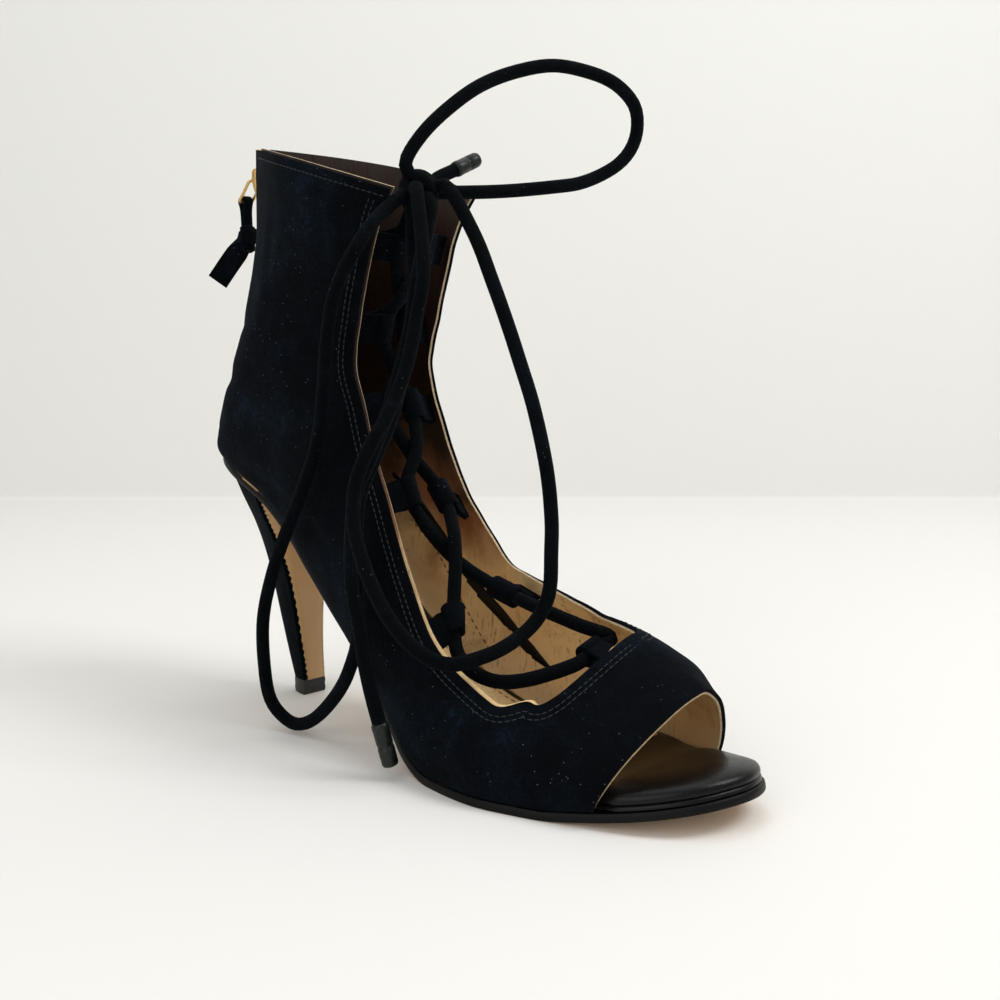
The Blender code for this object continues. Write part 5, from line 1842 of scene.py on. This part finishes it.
@dataclass
class Lace:
    """The lace: two legs through the tabs, the bow knot, its loops and ends."""

    last: Last
    wear: Wardrobe
    diameter: float = 0.0042
    gap: float = 0.0003
    lead: float = 0.6
    sink: float = 0.0028
    tab_leather: float = 0.0011
    tab_ease: float = 0.0006
    tab_length: float = 0.0095
    front_tab_length: float = 0.0070
    front_tab_along: Triple = (0.039, 0.945, 0.326)
    knot: Triple = (68.0, -6.0, 170.0)
    knot_size: Triple = (13.0, 17.0, 13.0)
    wraps: tuple[Wrap, ...] = (
        Wrap((0.10, 0.95, 0.25), (-0.1, 1.5), (4.3, 4.3), (-4.6, 3.8)),
        Wrap((0.75, -0.55, 0.35), (0.2, 1.35), (4.2, 5.0), (-2.2, 2.6)),
        Wrap((-0.35, 0.80, -0.45), (0.0, 0.9), (4.8, 4.2), (0.4, 4.4)))
    # middle of the bore and hidden end of each tab, pairs from the lowest up
    tab_pairs: tuple[tuple[tuple[Triple, Triple], ...], ...] = (
        (((90.8, -14.2, 42.9), (90.0, -25.7, 37.2)), ((91.5, 7.2, 48.2), (91.2, 18.6, 46.0))),
        (((63.3, -7.3, 77.9), (62.3, -19.1, 75.7)), ((62.5, 8.4, 75.4), (60.1, 19.2, 70.3))),
        (((51.4, -5.3, 104.4), (48.6, -17.3, 102.8)), ((50.8, 5.8, 104.2), (46.9, 17.5, 102.0))),
        (((49.6, -5.1, 129.6), (45.8, -16.4, 128.2)), ((49.6, 5.1, 129.6), (45.7, 16.4, 128.3))),
        (((57.5, -5.2, 154.5), (53.5, -16.6, 153.9)), ((57.5, 5.2, 154.5), (53.5, 16.6, 153.9))))
    front_tab: tuple[Triple, Triple] = ((129.4, 4.0, 36.6), (144.1, 2.0, 37.0))
    legs: dict[str, tuple[tuple[float, ...], ...]] = field(default_factory=lambda: {
        "outer": ((129.4, 4.0, 36.6), (129.1, -3.9, 33.9), (121.4, -17, 30.6), (110.4, -20, 29.6),
                  (99.4, -20, 33.6), (90.8, -14.2, 42.9), (78.4, -1.5, 62.7), (62.5, 8.4, 75.4),
                  (55.0, .4, 90.2), (51.4, -5.3, 104.4), (52.5, .1, 117), (49.6, 5.1, 129.6),
                  (51.4, 0, 142.4), (57.5, -5.2, 154.5), (63, -5.7, 162.6), (64.8, -5.7, 165.4)),
        "inner": ((129.4, 4.0, 36.6), (129.8, 11.9, 39.4), (121.4, 5, 43.6), (91.5, 7.2, 48.2),
                  (75.4, -1.5, 59.5), (63.3, -7.3, 77.9), (59.0, .4, 90.8), (50.8, 5.8, 104.2),
                  (48.4, .1, 117), (49.6, -5.1, 129.6), (55.7, 0, 141.6), (57.5, 5.2, 154.5),
                  (63.4, -1.7, 163.2), (65.1, -2.6, 165.9)),
    })
    loops: dict[str, tuple[Any, ...]] = field(default_factory=lambda: {
        "lace_loop_high": (((-2, -4, 9), (5, 13, 0)), (
            (69, -5, 187), (72, 3, 195), (76, 12, 202), (80, 23, 207), (85, 35, 210),
            (90, 46, 209), (94, 55, 206), (97, 61, 200), (97, 63, 193), (96, 61, 186),
            (94, 55, 180), (90, 45, 175), (86, 35, 173), (79, 19, 171))),
        "lace_loop_side": (((0, -12, -4), (3, -8, -13)), (
            (68, -25, 159), (63, -30, 148), (57, -31, 137), (55, -32, 124), (54, -33, 108),
            (51, -33, 95), (44, -33, 81), (36, -34, 66), (29, -35, 51), (25, -36, 36),
            (25, -36, 21), (28, -36, 10), (34, -34, 4), (41, -33, 4), (49, -32, 9), (59, -32, 19),
            (66, -33, 29), (70, -34, 38), (71, -35, 55), (69, -33, 70), (69, -31, 81),
            (72, -28, 91), (73, -23, 101), (73, -18, 114), (73, -14, 128), (72, -12, 142))),
        "lace_loop_front": (((12, 6, 1), (12, -14, -2)), (
            (88, -2, 156), (95, -2, 143), (100, -1, 131), (105, -1, 120), (110, 0, 106),
            (115, 0, 89), (117, 0, 75), (117, 0, 65), (118, -2, 53), (117, -7, 45),
            (116, -17, 40), (115, -27, 38), (111, -36, 37), (105, -42, 41), (96, -45, 50),
            (87, -45, 62), (80, -43, 73), (77, -40, 84), (80, -37, 95), (83, -32, 105),
            (84, -26, 118), (84, -22, 132), (85, -20, 146))),
    })
    side_end: tuple[tuple[float, ...], ...] = (
        (79, -17, 143), (78, -19, 129), (77, -23, 115), (77, -29, 101), (76, -34, 90),
        (74, -37, 82), (74, -39, 71), (76, -41, 56), (80, -42, 45), (84, -43, 33),
        (87, -43, 24), (89, -42, 16))

    def knot_face(self, direction: Sequence[float]) -> tuple[Array, Array]:
        """Where a cord leaves the knot.

        Args:
            direction: the exit's direction from the knot's centre.

        Returns:
            Point just off the knot, and the knot's normal there.
        """
        ray = unit(direction)
        halves = np.array(self.knot_size) * MM / 2
        radius = 1 / math.sqrt(float(np.sum((ray / halves) ** 2)))
        normal = unit(ray / halves**2)
        return np.array(self.knot) * MM + ray * radius + normal * self.gap, normal

    def cord_route(self, exits: Spots,
                   points: Spots) -> Array:
        """Points of a cord that leaves the knot and may come back.

        Args:
            exits: direction in which it leaves, and the one from which it comes back.
            points: its points between, in millimetres.

        Returns:
            Points in metres.
        """
        start, normal = self.knot_face(exits[0])
        rows = [start - normal * self.sink, start + normal * self.diameter * self.lead]
        rows += [np.array(p) * MM for p in points]
        if len(exits) == 2:
            finish, normal = self.knot_face(exits[1])
            rows += [finish + normal * self.diameter * self.lead, finish - normal * self.sink]
        return np.array(rows)

    def cord_curve(self, name: str, points: Array) -> Piece:
        """Round cord as one smooth curve.

        Args:
            name: object's name.
            points: points that it goes through.

        Returns:
            The curve.
        """
        curve = bpy.data.curves.new(name, "CURVE")
        curve.dimensions = "3D"
        spline = curve.splines.new("POLY")
        fine = even(through(points, 12), 0.0022)
        spline.points.add(len(fine) - 1)
        for target, point in zip(spline.points, fine):
            target.co = (*point, 1.0)
        spline.use_smooth = True
        curve.bevel_depth = self.diameter / 2
        curve.bevel_resolution = 5
        curve.use_fill_caps = True
        curve.materials.append(self.wear.lace)
        return linked(name, curve)

    def end_piece(self, name: str, start: Array, ray: Array, length: float,
                  diameter: float) -> Piece:
        """Coated end: a crimped tube with a rolled mouth and a blunt tip.

        Args:
            name: object's name.
            start: middle of its mouth.
            ray: its direction.
            length: its length.
            diameter: its width.

        Returns:
            The end.
        """
        profile = ((-0.0012, 0.80), (-0.0008, 1.0), (0.0004, 1.04), (0.0012, 0.99),
                   (0.4 * length, 1.0), (0.42 * length, 0.94), (0.5 * length, 0.94),
                   (0.52 * length, 1.0), (length - 0.0012, 0.98), (length - 0.0004, 0.86),
                   (length, 0.45))
        path = np.array([start + ray * along for along, _ in profile])
        scale = np.array([size for _, size in profile])
        outline = [(diameter / 2 * math.cos(t), diameter / 2 * math.sin(t))
                   for t in np.linspace(0, 2 * math.pi, 28, endpoint=False)]
        side = np.cross(ray, (0.3, 0.9, 0.2))
        return sweep(name, path, outline, side, self.wear.aglet, 50.0, scale)

    def build_cords(self) -> None:
        for name, (exits, points) in self.loops.items():
            route = self.cord_route(exits, points)
            cord = self.cord_curve(name + "_suede", route)
            pieces = self.top_end() if name == "lace_loop_high" else []
            dress(cord, Slot.LACE, name)
            self.measure(route)
            LOG.info("%s: %.3f m", name, self.measure(route))
        route = self.cord_route(((13, -4, -9),), self.side_end)
        cord = self.cord_curve("lace_end_side_suede", route)
        dress(cord, Slot.LACE, "lace_end_side")
        ray = unit(route[-1] - even(through(route, 12), 0.001)[-3])
        aglet = self.end_piece("side_end_foil", route[-1] + ray * self.gap, ray, 0.012, 0.0050)
        dress(aglet, Slot.AGLET, "aglet_side")
        self.measure(route)

    def measure(self, route: Array) -> float:
        """Length of a cord through its points."""
        fine = through(route, 12)
        return float(np.linalg.norm(np.diff(fine, axis=0), axis=1).sum())

    def top_end(self) -> list[Piece]:
        """Short end above the knot with its foil.

        Returns:
            The end and the foil.
        """
        route = self.cord_route(((-2, 12, 5),), ((67, 11, 178),))
        stub = tube("lace_end_top_suede", through(route, 10), self.diameter / 2, self.wear.lace)
        dress(stub, Slot.LACE, "lace_end_top")
        ray = unit(route[-1] - route[-2])
        foil = self.end_piece("top_end_foil", route[-1] + ray * self.gap, ray, 0.009, 0.0048)
        dress(foil, Slot.AGLET, "aglet_top")
        return [stub, foil]

    def build_knot(self) -> None:
        """Wrapped bow knot: turns of the lace round a core at the crossing of the loops."""
        centre = np.array(self.knot) * MM
        parts = []
        for number, wrap in enumerate(self.wraps):
            parts.append(tube(f"knot_wrap_{number}", wrap.path(centre, (0.2, 0.1, 0.97), 60),
                              self.diameter / 2 * 0.98, self.wear.lace, 0.0008, 16, 0.01))
        parts.append(tube("knot_core", np.array([centre + (-.004, 0, -.002), centre,
                                                 centre + (.004, .001, .002)]), 0.0034,
                          self.wear.lace))
        dress(merged("bow_knot", parts), Slot.LACE, "lace_knot")

    def build_legs(self) -> None:
        """Make the two legs that cross between the tabs."""
        parts = []
        for name, points in self.legs.items():
            path = through(np.array(points) * MM, 14)
            parts.append(tube(f"leg_{name}", path, self.diameter / 2, self.wear.lace,
                              0.0010, 16, 0.008))
        dress(merged("lace_legs", parts), Slot.LACE, "lace_crossings")

    def tabs(self) -> dict[str, tuple[Triple, Triple]]:
        """Places of the tabs, the front tab last.

        Returns:
            By the tab's name, the middle of its bore and its hidden end.
        """
        sides = ("lateral", "medial")
        named = {f"lace_tab_{side}_{number}": tab for number, pair in enumerate(self.tab_pairs, 1)
                 for side, tab in zip(sides, pair)}
        return {**named, "lace_tab_front": self.front_tab}

    def build_tabs(self) -> None:
        """Suede tabs folded round the lace, their ends behind the throat edge."""
        paths = [through(np.array(points) * MM, 14) for points in self.legs.values()]
        for name, (centre, root) in self.tabs().items():
            centre, root = np.array(centre) * MM, np.array(root) * MM
            length, tangent = self.front_tab_length, self.front_tab_along
            if name != "lace_tab_front":
                length = self.tab_length
                path = min(paths, key=lambda rows: np.linalg.norm(rows - centre, axis=1).min())
                near = int(np.argmin(np.linalg.norm(path - centre, axis=1)))
                near = min(max(near, 4), len(path) - 5)
                tangent = path[near + 4] - path[near - 4]
            tab = self.tab(name + "_suede", centre, root, unit(tangent), length)
            dress(tab, Slot.SUEDE, name)

    def tab(self, name: str, centre: Array, root: Array, tangent: Array,
            length: float) -> Piece:
        """One folded tab.

        Args:
            name: object's name.
            centre: middle of its bore.
            root: middle of its hidden end.
            tangent: the lace's direction.
            length: its length along the lace.

        Returns:
            The tab.
        """
        bore, leather = self.diameter + self.tab_ease, self.tab_leather
        away = root - centre
        skew = float(np.dot(away, tangent))
        toward = unit(away - tangent * skew)
        across = np.cross(tangent, toward)
        reach = float(np.dot(away, toward))
        path = [toward * reach + across * leather / 2]
        path += [toward * (reach * 0.55) + across * leather * 0.52]
        for degrees in range(35, 326, 14):
            turn = math.radians(degrees)
            size = (bore / 2 + leather / 2) * (1.0 if 60 < degrees < 300 else 0.97)
            path.append((toward * math.cos(turn) + across * math.sin(turn)) * size)
        path += [toward * (reach * 0.55) - across * leather * 0.52]
        path += [toward * reach - across * leather / 2]
        path = through(np.array(path), 3)
        ahead = path @ toward
        path = path + tangent * (skew * np.clip(ahead / reach, 0, 1))[:, None] + centre
        outline = rounded_strip(length, leather * 0.96, leather * 0.3)
        return sweep(name, path, outline, tangent, self.wear.tab_suede)

    def build(self) -> None:
        """Make every piece of the lace."""
        self.build_cords()
        self.build_legs()
        self.build_tabs()
        self.build_knot()
        LOG.info("lace: %d tabs", len(self.tabs()))


@dataclass
class Zip:
    """Back zip: tape, teeth, slider and the pull with its suede strip."""

    last: Last
    wear: Wardrobe
    drop: float = 0.0100
    slider: Triple = (0.0024, 0.0052, 0.0080)
    wire: float = 0.0011
    link: tuple[float, float] = (0.0064, 0.0095)
    lean: float = 43.0
    strip_drop: float = 0.0127
    strip_back: float = 0.0006
    tail_along: Triple = (-0.337, -0.479, -0.811)
    tail_across: Triple = (0.642, 0.513, -0.570)
    tail_length: float = 0.0185
    leather: float = 0.0012
    tooth_pitch: float = 0.00124
    wraps: tuple[Wrap, ...] = (
        Wrap((0.15, 0.25, 1.0), (0.0, 1.15), (2.9, 3.1), (-2.2, 2.6)),
        Wrap((0.7, 0.5, -0.6), (0.1, 0.95), (2.6, 3.9), (-1.2, 1.0)))

    def build_chain(self) -> None:
        """Tape and two rows of teeth in the slot."""
        places = np.linspace(self.last.zip_start + 0.06, self.last.top, 60)
        line = self.last.base(places, Side.OUTER)
        up = headings(line)
        outward = unit(np.stack([-up[:, 2], 0 * up[:, 0], up[:, 0]], axis=1))
        tape = sweep("zip_tape_cloth", line - outward * 0.0011,
                     rounded_strip(0.0064, 0.0005, 0.0002), TO_INNER, self.wear.tape)
        dress(tape, Slot.BRASS, "zip_chain")
        parts = []
        half = self.tooth_pitch / 2
        for sign, skip in ((-1, 0), (1, 1)):
            parts.append(even(line + outward * 0.0001 + TO_INNER * sign * half, half)[skip:])
        teeth = RowTree("zip_rows", block=True)
        made = teeth.lay("zip_teeth", parts, self.wear.gold, Spacing=self.tooth_pitch,
                         Length=0.00072, Width=0.0015, Height=0.0015)
        dress(made, Slot.BRASS)

    def build_slider(self) -> Array:
        """Slider with its bridge, and the link's axle.

        Returns:
            The axle's place.
        """
        spot, outward, up = self.last.back_frame(self.drop)
        deep, wide, tall = self.slider
        centre = spot + outward * (0.0003 + deep / 2)
        outline = [(-0.36, 0.5), (0.36, 0.5), (0.5, 0.36), (0.5, -0.05), (0.30, -0.5),
                   (-0.30, -0.5), (-0.5, -0.05), (-0.5, 0.36)]
        body = [centre + TO_INNER * (u * wide) + up * (v * tall) + outward * (level * deep)
                for level in (-0.5, 0.5) for u, v in outline]
        faces = tube_faces(2, len(outline))
        plate = eased(mesh_object("slider_body", body, faces, [self.wear.gold]), 0.0005)
        axle = centre + outward * (deep / 2 + 0.0003 + self.wire / 2)
        reach = self.wire / 2 + 0.0003 + 0.0006
        turns = np.linspace(0, math.pi, 13)
        arch = [axle + (up * math.cos(t) + outward * math.sin(t)) * reach for t in turns]
        sink = outward * 0.0016
        bridge = tube("slider_bridge", np.array([arch[0] - sink] + arch + [arch[-1] - sink]),
                      0.00062, self.wear.gold, 0.0003, 12)
        dress(merged("slider_gold", [plate, bridge]), Slot.BRASS, "zip_slider")
        return axle

    def build_link(self, axle: Array) -> Array:
        """Wire link that hangs from the slider's bridge.

        Args:
            axle: the bridge's place.

        Returns:
            Middle of the link's low bar.
        """
        lean = math.radians(self.lean)
        down = np.array([-math.sin(lean), 0.0, -math.cos(lean)])
        wide, long = self.link
        half = wide / 2 - self.wire / 2
        corner = 0.0012
        loop = []
        for across, along, start in (
                (half - corner, corner, -90), (half - corner, long - corner, 0),
                (corner - half, long - corner, 90), (corner - half, corner, 180)):
            for turn in np.radians(start + np.arange(0, 91, 15)):
                loop.append(axle + TO_INNER * (across + corner * math.cos(turn))
                            + down * (along + corner * math.sin(turn)))
        loop = even(np.array(loop + loop[:1]), 0.0004)[:-1]
        face = np.cross(TO_INNER, down)
        vertices = []
        turns = np.linspace(0, 2 * math.pi, 12, endpoint=False)
        for before, spot, after in zip(np.roll(loop, 1, axis=0), loop, np.roll(loop, -1, axis=0)):
            out = unit(np.cross(after - before, face))
            vertices += [spot + (out * math.cos(t) + face * math.sin(t)) * self.wire / 2
                         for t in turns]
        faces = [tuple(index % len(vertices) for index in quad)
                 for quad in grid_faces(len(loop) + 1, len(turns), ring=True)]
        link = mesh_object("pull_link_gold", vertices, faces, [self.wear.gold])
        dress(link, Slot.BRASS, "zip_pull_link", body="zip_pull")
        return axle + down * long

    def build_strip(self, bar: Array) -> None:
        """Knotted suede strip, folded over the link's low bar.

        Args:
            bar: middle of the bar.
        """
        knot = bar + np.array([self.strip_back, 0.0, -self.strip_drop])
        leather = self.leather
        radius = (self.wire + 0.0009) / 2 + leather / 2
        ahead = unit(knot - bar)
        aside = np.cross(TO_INNER, ahead)
        path = [knot - ahead * 0.002 + aside * leather * 0.5]
        path += [bar + ahead * 0.004 + aside * leather * 0.55]
        for turn in np.radians(np.arange(50, 311, 20)):
            path.append(bar + (ahead * math.cos(turn) + aside * math.sin(turn)) * radius)
        path += [bar + ahead * 0.004 - aside * leather * 0.55]
        path += [knot - ahead * 0.002 - aside * leather * 0.5]
        suede = self.wear.tab_suede
        parts = [sweep("strip_fold", through(np.array(path), 4),
                       rounded_strip(0.0036, leather * 0.92, 0.00035), TO_INNER, suede)]
        along, across = unit(self.tail_along), np.array(self.tail_across)
        face = unit(np.cross(along, across))
        share = np.linspace(0, 1, 18)
        tail = np.array([knot + along * (self.tail_length * t) + face * 0.0007 * math.sin(3.2 * t)
                         for t in share])
        parts.append(sweep("strip_tail", tail, rounded_strip(0.0076, 0.0011, 0.00035), across,
                           suede, taper=0.72 + 0.28 * np.minimum(1, share * 3)))
        for number, wrap in enumerate(self.wraps):
            parts.append(sweep(f"strip_wrap_{number}", wrap.path(knot, (0.9, 0.1, 0.1), 40),
                               rounded_strip(0.0046, leather, 0.0004), wrap.axis, suede))
        core = np.array([knot + (0, 0, -.004), knot, knot + (0, 0, .004)])
        parts.append(tube("strip_core", core, 0.0026, suede))
        dress(merged("pull_strip_suede", parts), Slot.SUEDE, "zip_pull_strip", body="zip_pull")

    def build(self) -> None:
        """Make the zip."""
        self.build_chain()
        axle = self.build_slider()
        self.build_strip(self.build_link(axle))
        LOG.info("zip: axle at %s", np.round(axle, 5))


@dataclass
class Studio:
    """Camera at the photograph's angle, floor, wall and soft lights."""

    wear: Wardrobe
    eye: Triple = (0.3625, -0.2756, 0.130)
    lens: float = 46.44
    right: Triple = (0.7193, 0.6947, 0.0)
    upward: Triple = (-0.0934, 0.0968, 0.9909)
    wall_foot: tuple[float, float] = (-0.302, 0.413)
    cove: float = 0.004
    floor_run: float = 1.6
    wall_height: float = 1.8
    half_width: float = 2.2
    aim: Triple = (0.07, 0.0, 0.08)
    sky: tuple[float, float, float, float] = (1.0, 0.99, 0.97, 1.0)
    sky_strength: float = 0.47
    # name, place, size and power of each light
    lights: tuple[tuple[str, Triple, float, float], ...] = (
        ("key", (0.75, 0.35, 0.95), 0.5, 6.4), ("fill", (0.30, -0.95, 0.55), 0.9, 3.6),
        ("top", (0.00, 0.05, 1.20), 1.0, 4.2))

    def build(self) -> None:
        """Make the studio."""
        right, up = Vector(self.right).normalized(), Vector(self.upward).normalized()
        back = right.cross(up).normalized()
        turn = Matrix((right, up, back)).transposed().to_4x4()
        camera = bpy.data.cameras.new("photo_camera")
        camera.lens = self.lens
        camera.sensor_width = 36.0
        camera.clip_start = 0.01
        view = linked("photo_camera", camera)
        view.matrix_world = Matrix.Translation(self.eye) @ turn
        bpy.context.scene.camera = view
        self.backdrop(right)
        for name, place, size, power in self.lights:
            self.light(name, Vector(place), size, power)
        bpy.context.scene.view_settings.view_transform = "Standard"
        world = bpy.data.worlds.new("soft_world")
        world.use_nodes = True
        sky = world.node_tree.nodes["Background"].inputs
        sky["Color"].default_value = self.sky
        sky["Strength"].default_value = self.sky_strength
        bpy.context.scene.world = world

    def backdrop(self, right: Vector) -> None:
        """Floor that turns up into the wall.

        Args:
            right: the camera's right, along which the wall stands.
        """
        heading = Vector((-right.y, right.x, 0.0)).normalized()
        foot = Vector((*self.wall_foot, 0.0))
        cove = self.cove
        profile = [foot - heading * self.floor_run, foot - heading * cove]
        for step in range(1, 7):
            angle = math.pi / 2 * step / 6
            profile.append(foot - heading * cove * (1 - math.sin(angle))
                           + Vector((0, 0, cove * (1 - math.cos(angle)))))
        profile.append(foot + Vector((0, 0, self.wall_height)))
        vertices = [spot + right * sign * self.half_width for spot in profile for sign in (-1, 1)]
        stage = mesh_object("studio_floor_and_wall", vertices, grid_faces(len(profile), 2),
                            [self.wear.floor, self.wear.wall], outward=False, sharp=60.0,
                            pick=lambda face: 1 if abs(face.normal.z) < 0.5 else 0)
        if stage.data.polygons[0].normal.z < 0:
            stage.data.flip_normals()

    def light(self, name: str, place: Vector, size: float, power: float) -> None:
        """Add a square light that faces the shoe.

        Args:
            name: the light's name.
            place: its middle.
            size: length of its edge.
            power: its power in watts.
        """
        lamp = bpy.data.lights.new(name, "AREA")
        lamp.size = size
        lamp.energy = power
        turn = (Vector(self.aim) - place).to_track_quat("-Z", "Y")
        linked(name, lamp).matrix_world = Matrix.Translation(place) @ turn.to_matrix().to_4x4()


def main() -> None:
    """Build the shoe and its studio."""
    logging.basicConfig(level=logging.INFO, format="%(name)s: %(message)s")
    wear = Wardrobe()
    last = Last()
    Studio(wear).build()
    Lace(last, wear).build()
    Upper(last, wear).build()
    SoleUnit(last, wear).build()
    Heel(last, wear).build()
    Zip(last, wear).build()


if __name__ == "__main__":
    main()
